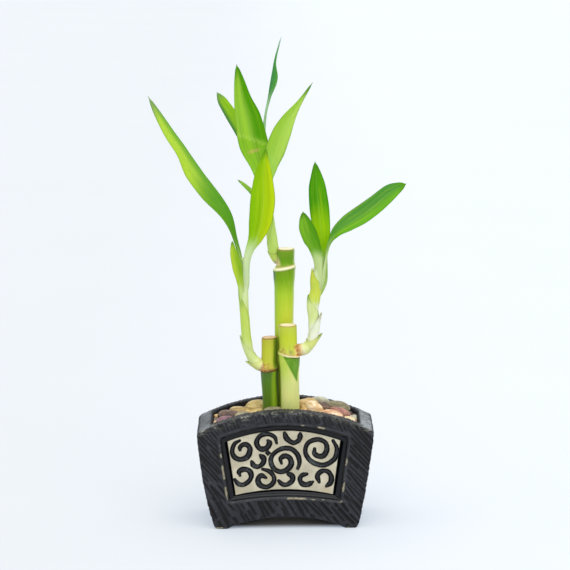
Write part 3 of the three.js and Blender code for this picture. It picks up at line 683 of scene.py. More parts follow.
def pot_material():
    m = Shade("charcoal_stoneware")
    groove, scuff, wear, glaze, bare = m.values("groove", "scuff", "wear", "glaze", "bare")
    top, side_top_light, worn_rim, inside, lip = m.values("top", "side_top_light", "worn_rim", "inside", "lip")
    cloud = m.noise(90, 4)
    grain = m.noise(1500, 3, 0.7)
    dry = m.noise((620, 300, 200), 4, 0.65, 0.6)
    body = cloud.ramp((0.3, "#1b1c20"), (0.52, "#232429"), (0.72, "#2d2e34"))
    body = body.mix(grain.span(0.5, 0.78, 0.5), "#4a4d55")
    body = body.mix(dry.span(0.5, 0.72, 0.45), "#42444c")
    # Painted light and shade of the scoring: lighter between the scratches, near black in them.
    body = body.mix(groove.span(0.1, 0.0, 0.35), "#3c3e46")
    body = body.mix(groove.span(0.15, 0.9, 0.9), "#060607")
    # Painted light: a pale grey on the side walls' up-facing tops, stronger on the right, and darker in
    # their scratches as painted shade.
    side_top_lit_tone = (dry * 0.6 + cloud * 0.4).ramp((0.34, "#5c6063"), (0.5, "#92989c"), (0.66, "#bdc3c8"))
    body = body.mix(top * side_top_light, side_top_lit_tone.mix(groove.span(0.2, 0.9, 0.75), "#33363a"))
    wisp = m.noise((420, 420, 420), 5, 0.7, 2.2).span(0.5, 0.66)
    pale = m.mix(m.noise(500, 3), "#6c6a60", "#b3aa93")
    body = body.mix(m.most(wear * 0.9, top * 0.35) * wisp, pale)
    thread = abs(m.noise((170, 420, 420), 4, 0.65, 1.2) - 0.5).span(0.045, 0.01)
    body = body.mix(thread * m.noise(160, 2).span(0.42, 0.6) * worn_rim * 0.95, "#abab9c")
    # Painted shade: the inside of the mouth is near black.
    body = body.mix(inside * 0.85, "#050506")
    body = body.mix(glaze, m.mix(m.noise(300), "#07080b", "#111318"))
    # Painted highlight: a lighter grey along the soft lip round the recess.
    body = body.mix(lip * m.noise(150, 3).span(0.35, 0.65, 0.4, 0.05), "#4a4b50")
    scuffed = (scuff * m.noise(600, 4, 0.7)).span(0.2, 0.42) * 0.62
    clay = m.mix(m.noise(450), "#7d7358", "#cfc5a6")
    body = body.mix(m.most(scuffed, bare * m.noise(220, 4).span(0.44, 0.6, 0.7)), clay)
    shine = m.most(glaze, lip * 0.7)
    rough = (m.noise(400, 3) * 0.25 + 0.42) * (1 - shine) + shine * 0.16
    fine = grain * (1.05 - shine) + dry * (1.02 - shine) * 1.6
    return m.finish(body, rough, (fine, 0.00022, 0.8), Specular_IOR_Level=0.26)


build_pot()


# ---------------------------------------------------------------- panel
SCROLLS = [       # middle lines of the cut strokes: x, z
    [(-28.8, 56.7), (-32, 54.7), (-33.6, 49.8), (-32, 46), (-28.2, 44.6), (-24, 46.4), (-22.4, 51),
     (-24.2, 53.9), (-26.8, 54), (-28.6, 52.4), (-28.6, 50.6)],
    [(-5.7, 54.9), (-7, 58.8), (-11.4, 60.9), (-15.9, 59.6), (-18.2, 55.8), (-17.3, 52.6), (-14.5, 51),
     (-11.4, 52.3), (-10.2, 55), (-11.2, 56.6)],
    [(-0.7, 61.4), (0.8, 57.6), (4.8, 55), (8.5, 57), (9.1, 60.9)],
    [(29.6, 56.1), (32, 50.6), (30.2, 44.2), (23.4, 40.4), (15.8, 43), (12.2, 49), (14, 54.8), (19.7, 57),
     (24.6, 55), (25.7, 50.7), (23.8, 46.8), (20.6, 46.2), (18, 48), (18, 51)],
    [(7.4, 38.4), (8.5, 42.3), (7.4, 47), (4.2, 50.6), (0.2, 51.6), (-4.2, 50.5), (-8, 47.6), (-9.5, 43.6),
     (-7.8, 38.8), (-3.9, 36.4), (0.6, 37.6), (3.3, 41.2), (2.5, 45), (-0.5, 46.6), (-3.3, 44.8),
     (-2.8, 41.8)],
    [(-21.4, 43), (-20.2, 40.6), (-17.4, 39.8), (-14.6, 41.7), (-13.8, 44.8), (-16, 47.2)],
    [(-32.2, 31.6), (-29.9, 28.8), (-26.6, 28.3), (-23, 30.8), (-21.8, 34.2), (-23.2, 37.2), (-26.7, 38.2),
     (-29.4, 36.6), (-28.8, 34.2)],
    [(-14.6, 38.2), (-10, 36.4), (-7.5, 32.4), (-8.6, 28.6), (-12.4, 26.6), (-16.4, 28), (-17.6, 31.4),
     (-15.6, 34), (-12.6, 32.6)],
    [(-4.7, 30.6), (-2.5, 28.4), (0.6, 28), (4, 30.8), (3.6, 33.8), (1.2, 35)],
    [(13.1, 34.8), (9.8, 33.8), (8.7, 31), (10.4, 28.4), (13.4, 27.9), (16.8, 29.7)],
    [(20.7, 29.6), (19.7, 33.6), (22.6, 36.6), (26.2, 36.2), (28.3, 33), (28, 29.2), (25.3, 26.8)],
]
DIAMOND = (-11.2, 48.6, 2.1)
SETBACK, SCROLL_DEPTH, SCROLL_HALF, RIDGE = 2.3, 1.3, 1.66, 0.1
PANEL_BACK = 5.3                  # depth of the panel's hidden back
PANEL_COLUMNS, PANEL_ROWS = 300, 176
OUTSIDE = -2.0                    # scroll share of what is away from every stroke


def scroll_share(x, z):
    """How far inside a stroke each point is: 1 on its middle line, 0 on its edge, below 0 outside."""
    share = np.full(len(x), OUTSIDE)
    rng = np.random.default_rng(21)
    for points in SCROLLS:
        t = np.linspace(0, 1, 14 * len(points))
        line = catmull(points, t)
        wide = SCROLL_HALF * (1 + 0.1 * np.sin(t * rng.uniform(5, 9) + rng.uniform(0, 6))
                              + 0.05 * np.sin(t * rng.uniform(22, 30)))
        wide *= 0.6 + 0.4 * smoothstep(0, 0.16, t) * smoothstep(0, 0.12, 1 - t)
        low, high = line.min(0) - 3, line.max(0) + 3
        near = np.flatnonzero((x > low[0]) & (x < high[0]) & (z > low[1]) & (z < high[1]))
        for (px, pz), half in zip(line, wide):
            share[near] = np.maximum(share[near], 1 - np.hypot(x[near] - px, z[near] - pz) / half)
    dx, dz = np.abs(x - DIAMOND[0]), np.abs(z - DIAMOND[1])
    return np.maximum(share, 1 - (dx + dz) / DIAMOND[2])


def panel_edge(size):
    """The panel's lower or upper edge from left to right, at even steps."""
    curve = np.vstack([run(arc(*size, 60)[::-1], 400), size[:2]])
    at, known = np.linspace(0, 1, PANEL_COLUMNS + 1), np.linspace(0, 1, len(curve))
    return np.stack([np.interp(at, known, curve[:, k]) for k in (0, 1)], 1)


def build_panel():
    v = np.linspace(0, 1, PANEL_ROWS + 1)[:, None, None]
    grid = panel_edge(PANEL["low"]) * (1 - v) + panel_edge(PANEL["top"]) * v
    x, z = (grid.reshape(-1, 2) + [PANEL["x"], 0]).T
    flat = np.stack([x, 0 * x, z], 1)
    share = scroll_share(x, z)
    depth = SCROLL_DEPTH * (1 - (1 - smoothstep(-0.06, 0.75, share)) ** 1.4)
    depth -= RIDGE * bell(share, -0.22, 0.16)
    depth += 0.1 * lumps(flat, 7.0, 5.0) + 0.035 * lumps(flat, 1.4, 9.0)
    row, column = np.divmod(np.arange(len(x)), PANEL_COLUMNS + 1)
    to_edge = 0.235 * np.minimum.reduce(
        [column, PANEL_COLUMNS - column, row * 0.95, (PANEL_ROWS - row) * 0.95])
    depth += 0.55 * (1 - np.sqrt(np.clip(1 - (1 - np.clip(to_edge / 0.6, 0, 1)) ** 2, 0, 1)))
    points = np.stack([x, FRONT + SETBACK + depth, z], 1)
    faces = grid_faces(PANEL_ROWS, PANEL_COLUMNS)
    loop = border(PANEL_ROWS, PANEL_COLUMNS)
    walls, above = [], loop
    for k, deep in enumerate((SETBACK + 1.2, 3.9, PANEL_BACK)):
        walls.append(np.column_stack([x[loop], np.full(len(loop), FRONT + deep), z[loop]]))
        ring = ring_of(k, len(loop), len(x))
        faces += strip(above, ring)
        above = ring
    added = 3 * len(loop) + 1
    faces += fan(len(x) + added - 1, above)
    make("panel_scrolled", np.vstack([points, *walls, [PANEL["x"], FRONT + PANEL_BACK, MIDDLE_Z]]), faces,
         panel_material(), "cream_clay", "panel", share=np.r_[share, np.full(added, OUTSIDE)],
         rim=np.r_[1 - np.clip(to_edge / 0.9, 0, 1), np.ones(added)])


def panel_material():
    m = Shade("cream_clay_with_glazed_scrolls")
    share, rim = m.values("share", "rim")
    grain = m.noise(1900, 4, 0.7)
    clay = m.noise(95, 4).ramp((0.3, "#a8a18a"), (0.5, "#bab39c"), (0.7, "#cac4ad"))
    clay = clay.mix(grain.span(0.42, 0.3, 0.5), "#7d7561")
    clay = clay.mix(m.noise(1200, 3, 0.6).span(0.6, 0.75, 0.6), "#ddd6c2")
    speck = m.cells(1050).span(0.2, 0.1)
    clay = clay.mix(speck * 0.5, "#564f42")
    clay = clay.mix(m.noise((60, 60, 60)).span(0.56, 0.7, 0.35), "#a8926a")
    edge = share + (m.noise(800, 3) - 0.5) * 0.3
    clay = clay.mix(edge.span(-0.22, 0.0, 0.45), "#6f6a5e")
    glaze = edge.span(-0.05, 0.07)
    # Grey-green patches along the strokes' middles: partly worn glaze, partly painted highlight on the
    # glazed strokes.
    stroke_sheen_and_wear = share.span(0.12, 0.4) * m.noise(210, 3).span(0.54, 0.68)
    pool = m.mix(m.noise(500), "#07080a", "#15171b").mix(stroke_sheen_and_wear * 0.5, "#565e5e")
    # The panel's edge and its walls into the gap are near black and glossy: partly black glaze, partly
    # painted shade of the gap.
    colour = clay.mix(glaze, pool).mix(rim.span(0.35, 0.85, 0.93), "#121317")
    gloss = m.most(glaze, rim.span(0.35, 0.85))
    fine = (grain + speck * -0.6) * (1.06 - gloss)
    return m.finish(colour, gloss * -0.46 + 0.6, (fine, 0.0001, 0.8), Specular_IOR_Level=0.36)


build_panel()


# ---------------------------------------------------------------- gravel
PEBBLES = [       # x, y, z, half length, half width, half height, turn, dip to the right, kind
    (-37.4, -7.5, 65.4, 6.4, 4.8, 3.6, 8, -4, "maroon"), (-35.6, 3, 66.6, 6.4, 4.6, 3.6, -16, -6, "brown"),
    (-29.6, 9.5, 67.6, 6.6, 5, 3.6, 5, 4, "ochre"), (-18.2, 7.5, 71, 7.6, 6.2, 4.8, 0, -8, "honey"),
    (-27, -9.5, 67.2, 5.6, 3.8, 3, 0, -8, "brown"), (-27.2, -2.4, 67.6, 5.4, 4.2, 3, 0, -6, "moss"),
    (-17.5, -8.8, 68.8, 5.4, 4, 3, 10, 0, "sand"), (-17.9, -2.2, 69.4, 5.4, 4.2, 3, 15, -6, "honey"),
    (-7.4, -11.9, 72.6, 6.8, 3.2, 3.4, 4, 0, "moss"), (12.4, 3.5, 73, 4.6, 5, 3.6, 60, 0, "sand"),
    (12.4, -4.4, 71.4, 3.4, 4.6, 3.6, 0, 10, "sand"), (15.4, 11, 72.6, 5.2, 4.6, 3.4, 20, 0, "sand"),
    (18.6, -5.5, 72.8, 6.4, 4.6, 4.2, -12, 36, "quartz"), (22.4, 14, 72.6, 6.2, 4, 3.2, 0, 8, "grey"),
    (25, 5.5, 70.8, 5.2, 4.4, 3.2, 20, 24, "brown"), (29.8, -9.5, 69.2, 7, 4.4, 3.4, -8, 14, "peach"),
    (33, 10, 70, 8.4, 5.4, 3.8, -8, 8, "moss"), (34.6, -1.2, 68.9, 6.8, 3.6, 3.4, -14, 18, "rose"),
    (39.6, -10.6, 65.4, 4.6, 3.8, 3.4, 12, 6, "cream")]
STONES = {        # body, mottling, veins
    "maroon": ("#5a3236", "#86606a", "#b39a94"), "rose": ("#8f5a50", "#b07c6c", "#7d7458"),
    "brown": ("#4c382f", "#6d5343", "#8c7560"), "ochre": ("#a88f58", "#c3ab74", "#8c7040"),
    "honey": ("#b49a56", "#cfb878", "#96793c"), "moss": ("#6f684c", "#8f8665", "#a79c7c"),
    "sand": ("#c19d62", "#dbbd85", "#a27a44"), "quartz": ("#d6b27c", "#f1dcb8", "#b98850"),
    "grey": ("#a9a88f", "#cfcbb4", "#8a8670"), "peach": ("#d9aa80", "#f2d3b0", "#c08a62"),
    "cream": ("#dcc596", "#f2e2c0", "#b99a66")}
CANE_STANDS = [(-8.8, -3.3, 5.2), (3.1, -8.2, 5.9), (-0.5, 5.0, 5.5)]
WALL_GAP, CANE_GAP = 0.35, 0.25
BED_HALF, BED_TOP, BED_LOW = 46.2, (47, 60.3, 70.3), 40
BED_COLUMNS, BED_ROWS = 90, 36
LONG_STONE = 4.2                  # longer stones get the finer ball
# Loose grids of stones: x and y of the first one, cell width and depth, columns and rows.
LARGE_GRID, SMALL_GRID = (-41.6, -11.2, 10.4, 8.6, 9, 4), (-44.4, -13.6, 4.9, 4.3, 19, 8)


def all_pebbles():
    """The listed stones, one in each cell of a loose grid that none of them fills, and
    small ones lower down in the gaps."""
    random = random_run(7)
    kinds = ["sand", "ochre", "brown", "maroon", "grey", "peach", "moss"]
    made = list(PEBBLES)

    def free(x, y, stones, cane_gap):
        rounds = stones + [(cx, cy, radius + cane_gap) for cx, cy, radius in CANE_STANDS]
        return all(math.hypot(x - cx, y - cy) >= reach for cx, cy, reach in rounds)

    left, near, wide, deep, columns, rows = LARGE_GRID
    for row in range(rows):
        for column in range(columns):
            x = left + (column + 0.5 * (row % 2) - 0.25) * wide + 2 * (next(random) - 0.5)
            y = near + row * deep + 1.6 * (next(random) - 0.5)
            size = 4.6 + 1.6 * next(random)
            height = 3 + next(random)
            turn = 180 * next(random)
            level = 71.5 - x * x / 245 + 1.2 * next(random)
            stones = [(p[0], p[1], 0.62 * (p[3] + size) - 1) for p in PEBBLES]
            if free(x, y, stones, 0.5 * size) and abs(x) < 45:
                sunk = 1.4 + 2.6 * float(smoothstep(37, 44, abs(x)))
                kind = "brown" if abs(x) > 38 else kinds[(3 * row + 5 * column) % len(kinds)]
                made.append((x, y, level - sunk, size, size * 0.8, height, turn, 0, kind))
    left, near, wide, deep, columns, rows = SMALL_GRID
    for row in range(rows):
        for column in range(columns):
            x = left + wide * column + 1.6 * next(random)
            y = near + deep * row + 1.4 * next(random)
            size, turn = 2.4 + 1.1 * next(random), 180 * next(random)
            level = 69.4 - x * x / 235 + next(random)
            stones = [(p[0], p[1], 0.39 * (p[3] + p[4]) + 0.26 * size) for p in made]
            if free(x, y, stones, 0.2 * size) and abs(x) < 45.6 and y < 18.4:
                kind = kinds[(4 * row + 3 * column) % len(kinds)]
                made.append((x, y, level, size * 1.15, size, size * 0.86, turn, 0, kind))
    return made


def keep_clear(points):
    """Stones stay inside the mouth's walls and off the canes."""
    limit = wall_half(points[:, 2]) - WALL_GAP
    points[:, 0] = np.clip(points[:, 0], -limit, limit)
    points[:, 1] = np.clip(points[:, 1], MOUTH_FRONT + WALL_GAP, MOUTH_BACK - WALL_GAP)
    for *middle, radius in CANE_STANDS:
        off = points[:, :2] - middle
        dist = np.maximum(np.linalg.norm(off, axis=1), 1e-6)
        points[:, :2] = middle + off * (np.maximum(radius + CANE_GAP, dist) / dist)[:, None]
    return points


def stone_material(kind, body, mottle, vein):
    m = Shade("stone_" + kind)
    own, = m.values("own")
    moved = m.node("ShaderNodeCombineXYZ", {"X": own, "Y": own * 1.7, "Z": own * 0.6})
    m.at = m.node("ShaderNodeVectorMath", {0: m.at, 1: moved}, operation="ADD")
    cloud = m.noise(210, 5, 0.6, 0.4)
    pits = m.noise(1700, 3, 0.7)
    tone = m.mix(cloud.span(0.4, 0.62), body, mottle)
    tone = tone.mix(m.noise((60, 150, 520), 3, 0.5, 1.2).span(0.54, 0.64, 0.75), vein)
    tone = tone.mix(pits.span(0.6, 0.78, 0.5), vein)
    tone = tone.mix(pits.span(0.42, 0.28, 0.35), mottle)
    rough = m.noise(700, 3).span(0.3, 0.7, 0.58, 0.34)
    return m.finish(tone, rough, (pits * 0.5 + cloud, 0.00035, 0.5), Specular_IOR_Level=0.45)


def build_pebbles():
    balls = []
    for fineness in (3, 4):
        ball = bmesh.new()
        bmesh.ops.create_icosphere(ball, subdivisions=fineness, radius=1)
        ball_faces = [[v.index for v in f.verts] for f in ball.faces]
        balls.append((np.array([v.co for v in ball.verts]), ball_faces))
        ball.free()
    groups = {}
    for i, (x, y, z, long, wide, high, turn, dip, kind) in enumerate(all_pebbles()):
        unit, ball_faces = balls[long > LONG_STONE]
        seed = 3.7 * i
        swell = 1 + 0.09 * lumps(unit, 1.1, seed) + 0.03 * lumps(unit, 0.45, seed + 5)
        shape = np.sign(unit) * np.abs(unit) ** 0.93 * swell[:, None] * [long, wide, high]
        lean, spin, tip = (Matrix.Rotation(math.radians(a), 3, axis) for a, axis in (
            (8 * math.sin(5.1 * i), "X"), (turn, "Z"), (dip, "Y")))
        points, faces, own = groups.setdefault(kind, ([], [], []))
        start = sum(map(len, points))
        points.append(keep_clear(shape @ np.array(tip @ spin @ lean).T + [x, y, z]))
        faces += [[start + k for k in f] for f in ball_faces]
        own.append(np.full(len(unit), 0.013 * i))
    for kind, (points, faces, own) in groups.items():
        make("pebbles_" + kind, np.vstack(points), faces, stone_material(kind, *STONES[kind]),
             "river_pebble", "gravel", own=np.concatenate(own))


def build_bed():
    """A dark sheet under and between the stones, patterned like grit: painted shade for the gaps between
    them.
    """
    x, y = np.meshgrid(np.linspace(-BED_HALF, BED_HALF, BED_COLUMNS + 1),
                       np.linspace(MOUTH_FRONT + 0.3, MOUTH_BACK - 0.3, BED_ROWS + 1))
    crown = np.interp(x.ravel(), *arc(*BED_TOP, 100)[::-1].T)
    top = np.stack([x.ravel(), y.ravel(), crown], 1)
    top[:, 2] += 0.8 * lumps(top, 2.2, 3.0) + 0.5 * lumps(top, 1.0, 7.0)
    top = keep_clear(top)
    under = top * [0.9, 1, 0] + [0, 0, BED_LOW]
    m = Shade("gap_shade_grit")
    gap_shade_grit = m.cells(620)
    # Dark brown to near black: painted shade in the gaps between the stones.
    tone = m.noise(500, 4).ramp((0.3, "#2b241d"), (0.5, "#4d4134"), (0.7, "#7b6a52"))
    tone = tone.mix(gap_shade_grit.span(0.6, 0.9, 0.7), "#17130f")
    skin = m.finish(tone, 0.75, (1 - gap_shade_grit, 0.0008, 0.8), Specular_IOR_Level=0.3)
    make("gravel_bed", np.vstack([top, under]), shell_faces(BED_ROWS, BED_COLUMNS), skin,
         "river_pebble", "gravel")


build_pebbles()
build_bed()


# ---------------------------------------------------------------- canes
CANES = {         # rings: z, x, y, radius, slope (the ring's rise towards +X)
    "stalk_left": [(38, -8.4, -3.3, 4.8, 0), (78, -9, -3.3, 5.2, 0), (92, -9.8, -3.3, 5.3, 0.05),
        (97.4, -9.8, -3.3, 5.6, 0.14), (99.2, -9.9, -3.3, 5.9, 0.14), (100.2, -9.9, -3.3, 5.4, 0.14),
        (103, -9.9, -3.3, 4.9, 0.08), (117.6, -9.6, -3.3, 5, 0.04), (118.6, -9.6, -3.3, 4.7, 0.04)],
    "stalk_front": [(36, 3, -8.3, 5.4, 0), (78, 3.1, -8.2, 5.9, 0), (96, 2.9, -8.1, 5.9, -0.05),
        (105.6, 2.7, -8, 6.6, -0.16), (108.6, 2.6, -8, 6.9, -0.16), (109.8, 2.5, -8, 6.3, -0.16),
        (113.4, 2.2, -8, 5.6, -0.08), (126.4, 1.9, -8, 5.7, 0), (127.4, 1.9, -8, 5.4, 0)],
    "stalk_back": [(40, -0.4, 5, 5, 0), (80, -0.5, 5, 5.6, 0), (120, -0.4, 5, 5.9, 0),
        (148, 0, 4.9, 6.2, 0.05), (158.2, 0.1, 4.8, 6.9, 0.17), (161.2, 0.2, 4.8, 7.2, 0.17),
        (162.4, 0.6, 4.8, 6.3, 0.17), (165.4, 1.1, 4.8, 5.4, 0.08), (172.6, 1.3, 4.8, 5.4, 0),
        (173.6, 1.3, 4.8, 5.1, 0)],
}
NODE_AT = {"stalk_left": 99.2, "stalk_front": 108.6, "stalk_back": 161.2}
# The sawn top, from its edge to its middle: inset, drop and how far in the cut is.
SAWN = ((-0.12, 0.55, -1.0), (-0.1, 0.25, -1.0), (0.02, 0.06, -0.6), (0.2, 0.0, 0.0), (0.8, 0.05, 0.18),
        (1.3, 0.25, 0.3), (2.2, 0.4, 0.5), (3.3, 0.45, 0.75), (4.3, 0.42, 0.95))
CANE_SIDES, RING_STEP = 56, 1.2
NODE_RIDGE, SKIN_WOBBLE, CUT_WOBBLE = 0.22, 0.06, 0.1


def build_cane(name, material):
    rings = np.array(CANES[name], float)
    top = rings[-1, 0]
    rows = [rings[0]]
    for a, b in zip(rings[:-1], rings[1:]):
        steps = max(4, int((b[0] - a[0]) / RING_STEP))
        for f in np.arange(1, steps + 1) / steps:
            row = a * (1 - f) + b * f
            row[3:] = a[3:] + (b[3:] - a[3:]) * f * f * (3 - 2 * f)
            rows.append(row)
    angle = np.linspace(0, 2 * math.pi, CANE_SIDES, endpoint=False)
    cos, sin = np.cos(angle), np.sin(angle)
    points, along, cut = [], [], []

    def ring(z, x, y, radius, slope, mark, wobble):
        radius = radius + wobble * np.array([
            noise.noise(Vector((2 * c + x, 2 * s, z / 9))) for c, s in zip(cos, sin)])
        points.append(np.stack([x + radius * cos, y + radius * sin, z + slope * radius * cos], 1))
        along.append(np.full(CANE_SIDES, z))
        cut.append(np.full(CANE_SIDES, mark))

    for z, x, y, radius, slope in rows[:-3]:
        ridge = NODE_RIDGE * bell(z, NODE_AT[name] + 0.2, 0.4)
        ring(z, x, y, radius + ridge, slope, -1.0, SKIN_WOBBLE)
    z, x, y, radius, slope = rings[-1]
    for inset, drop, mark in SAWN:
        ring(top - drop, x, y, radius - inset, slope, mark, CUT_WOBBLE)
    count = len(points)
    faces = []
    for k in range(count - 1):
        faces += strip(ring_of(k, CANE_SIDES), ring_of(k + 1, CANE_SIDES))
    n = count * CANE_SIDES
    faces += fan(n, ring_of(0, CANE_SIDES)) + fan(n + 1, ring_of(count - 1, CANE_SIDES))
    ends = [[rings[0, 1], rings[0, 2], rings[0, 0]], [x, y, top - SAWN[-1][1]]]
    make("cane_" + name.split("_")[1], np.vstack([*points, ends]), faces, material, "cane", name,
         along=np.r_[np.concatenate(along), rings[0, 0], top], cut=np.r_[np.concatenate(cut), -1.0, 1.0],
         side=np.r_[np.tile(cos, count), 0, 0], facing=np.r_[np.tile(-sin, count), 0, 0])


def cane_material(name, paint, cut_tones, rim_tone, stops):
    """Fibrous skin coloured along the cane, a scarred node, and a sawn top with a pale pith."""
    m = Shade("skin_" + name)
    along, cut, side, facing = m.values("along", "cut", "side", "facing")
    low, high = stops[0][0], stops[-1][0]
    share = along.span(low, high, easing="LINEAR")
    tone = share.ramp(*(((z - low) / (high - low), colour) for z, colour in stops))
    fibre = m.noise((1500, 1500, 60), 3, 0.6)
    wide = m.noise((420, 420, 22), 3, 0.6)
    tone = paint(m=m, tone=tone, along=along, side=side, facing=facing, fibre=fibre, wide=wide)
    tone = tone.mix(fibre.span(0.55, 0.75, 0.22), tone.mix(0.6, "#f0f0b0"))
    tone = tone.mix(fibre.span(0.45, 0.28, 0.2), tone.mix(0.6, "#2c4a08"))
    tone = tone.mix(m.noise(2600, 2).span(0.68, 0.76, 0.35), "#4d5c18")
    rim_line = along.span(high - 0.9, high - 0.5, 0.6) * cut.span(-0.2, -0.5)
    tone = tone.mix(rim_line * fibre.span(0.2, 0.6, 1.0, 0.5), rim_tone)
    rings = m.noise((900, 900, 900), 4, 0.7)
    sawn = (cut + (rings - 0.5) * 0.35).ramp(*zip((0.0, 0.14, 0.4, 1.0), cut_tones))
    tone = tone.mix(cut.span(-0.45, -0.1), sawn.mix(rings.span(0.5, 0.35, 0.18), rim_tone))
    rough = cut.span(-0.5, 0.1) * 0.35 + 0.34 + fibre * 0.12
    height = fibre * 0.6 + wide + rings * cut.span(-0.2, 0.1, 1.5)
    return m.finish(tone, rough, (height, 0.00018, 0.5), Specular_IOR_Level=0.2,
                    Subsurface_Weight=0.12, Subsurface_Radius=(0.002, 0.003, 0.0008), Subsurface_Scale=0.6)


def paint_left(m, tone, along, side, **_):
    """An old dark green stripe, a dark right side above the node that is partly painted shade from the
    front cane, and brushed brown bark at the node.
    """
    below = along.span(97.4, 96.6)
    bend = side + (90 - along) * 0.012
    tone = tone.mix(bend.span(0.0, 0.5) * side.span(0.82, 0.62) * below * 0.9, "#86a51c")
    tone = tone.mix(side.span(0.62, 0.9) * 0.5, "#46560c")
    tone = tone.mix(along.span(88, 96) * below * side.span(0.1, -0.6) * 0.55, "#48702c")
    tone = tone.mix(along.span(99.5, 101.5) * side.span(-0.75, -0.98) * 0.7, "#b99a3e")
    # Darker green on the right above the node: partly the cane's stripe, partly painted shade from the
    # front cane.
    tone = tone.mix(along.span(98.4, 99.6) * side.span(0.4, 0.62) * 0.85, "#5f7f12")
    brushed = m.noise(520, 4, 0.7).span(0.42, 0.56) * along.band(97.2, 98.2, 100, 104.5)
    bark = m.mix(m.noise(900, 2).span(0.44, 0.6), "#8a4a1c", "#dcae70")
    return tone.mix(brushed * side.span(0.5, -0.3) * 0.9, bark)


def paint_front(m, tone, along, side, facing, wide, **_):
    """A dark green wedge under the node, lime beside it, blots and a ragged collar above."""
    below = along.span(107.9, 107.5)
    down = 107.2 - along
    tone = tone.mix(along.span(66, 92) * m.noise(120, 2).span(0.5, 0.7, 0.5) * below, "#dcd87c")
    reach = side + down * -0.082 + (wide - 0.5) * 0.12
    tone = tone.mix(along.span(84, 102) * below * side.span(0.5, -0.5) * 0.75, "#b2cb46")
    right = side + down * 0.015
    wedge = reach.span(-0.6, -0.44) * below * facing.span(-0.6, -0.3) * right.span(1.06, 0.96)
    tone = tone.mix(wedge, m.mix(m.noise(260, 3).span(0.35, 0.65), "#5a8d16", "#6a982a"))
    tone = tone.mix(side.span(-0.75, -0.98) * 0.5, "#a8c040")
    blots = m.noise(380, 4, 0.65).span(0.44, 0.54) * along.band(108.4, 109.4, 111, 115.5)
    sides = m.most(side.span(-0.2, -0.55), side.band(-0.05, 0.1, 0.3, 0.5))
    tone = tone.mix(blots * sides * 0.6, m.mix(side.span(-0.3, 0), "#9a6a3a", "#807a48"))
    tone = tone.mix(side.span(-0.35, -0.7) * along.band(107.8, 108.2, 109.1, 109.6) * 0.6, "#c9cf6a")
    tone = tone.mix(side.span(-0.1, 0.3) * along.band(107.2, 107.6, 107.9, 108.2) * 0.85, "#33340f")
    collar = m.mix(m.noise(420, 3, 0.6).span(0.36, 0.64), "#b06c1e", "#ecc878")
    return tone.mix(side.span(0.4, 0.85) * along.band(108.4, 109.4, 114, 117) * 0.85, collar)


def paint_back(tone, along, side, fibre, **_):
    """A cut flake of sheath at the node and a yellower middle."""
    reach = side + (along - 163.5) * 0.06 + fibre * 0.3
    tone = tone.mix(along.band(163.2, 164, 165.5, 171) * reach.span(-0.25, -0.5) * 0.85, "#cdbb80")
    tone = tone.mix(along.span(152, 122) * side.span(-0.5, 0.2) * 0.75, "#cbd23c")
    tone = tone.mix(side.span(-0.6, -0.95) * 0.5 * along.span(163, 161), "#8cb83c")
    tone = tone.mix(side.span(-0.72, -0.9) * along.band(151, 158.5, 160.4, 161) * 0.9, "#4a6d52")
    return tone.mix(side.span(0.75, 0.98) * 0.45, "#d8e69c")


SKINS = {         # what paints it, tones of the cut from rim to pith, rim, tones at heights
    "stalk_left": (paint_left, ("#8f6238", "#c9a077", "#dfc4a0", "#d6b488"), "#7c5026", [
        (38, "#3c5208"), (70, "#4c6a06"), (84, "#4f7208"), (92, "#4a7212"), (96.8, "#456820"),
        (97.3, "#4a3012"), (97.9, "#6f4219"), (98.5, "#a58a44"), (99.4, "#b3a63c"), (101.4, "#bcb53a"),
        (103.4, "#bdc03a"), (112, "#b8bf32"), (117.6, "#b1b138"), (118.6, "#a8883c")]),
    "stalk_front": (paint_front, ("#b8966a", "#e0cc9c", "#ecdfbc", "#e8d8b0"), "#a5854c", [
        (36, "#b4bc5e"), (70, "#c7cd7a"), (92, "#cdd180"), (107.5, "#bcc956"), (107.9, "#a59a54"),
        (108.3, "#f4ebc0"), (108.7, "#efe4b4"), (109.1, "#b9a45c"), (110.2, "#bebf54"), (113, "#bdc93e"),
        (120, "#bac82c"), (126.6, "#b6c240"), (127.4, "#b5a65c")]),
    "stalk_back": (paint_back, ("#c9b98c", "#ece2b6", "#f2ebce", "#ebdfba"), "#a08c5c", [
        (40, "#93b030"), (100, "#b6c83a"), (125, "#bccc38"), (145, "#a3c428"), (155, "#78a40a"),
        (160.4, "#6f980c"), (160.9, "#a09a5c"), (161.4, "#f2ecca"), (162.4, "#ece4ba"), (163, "#a3a04a"),
        (164, "#6c9a10"), (168, "#63920a"), (172.8, "#73961c"), (173.6, "#a08f58")]),
}
for cane, skin in SKINS.items():
    build_cane(cane, cane_material(cane.split("_")[1], *skin))


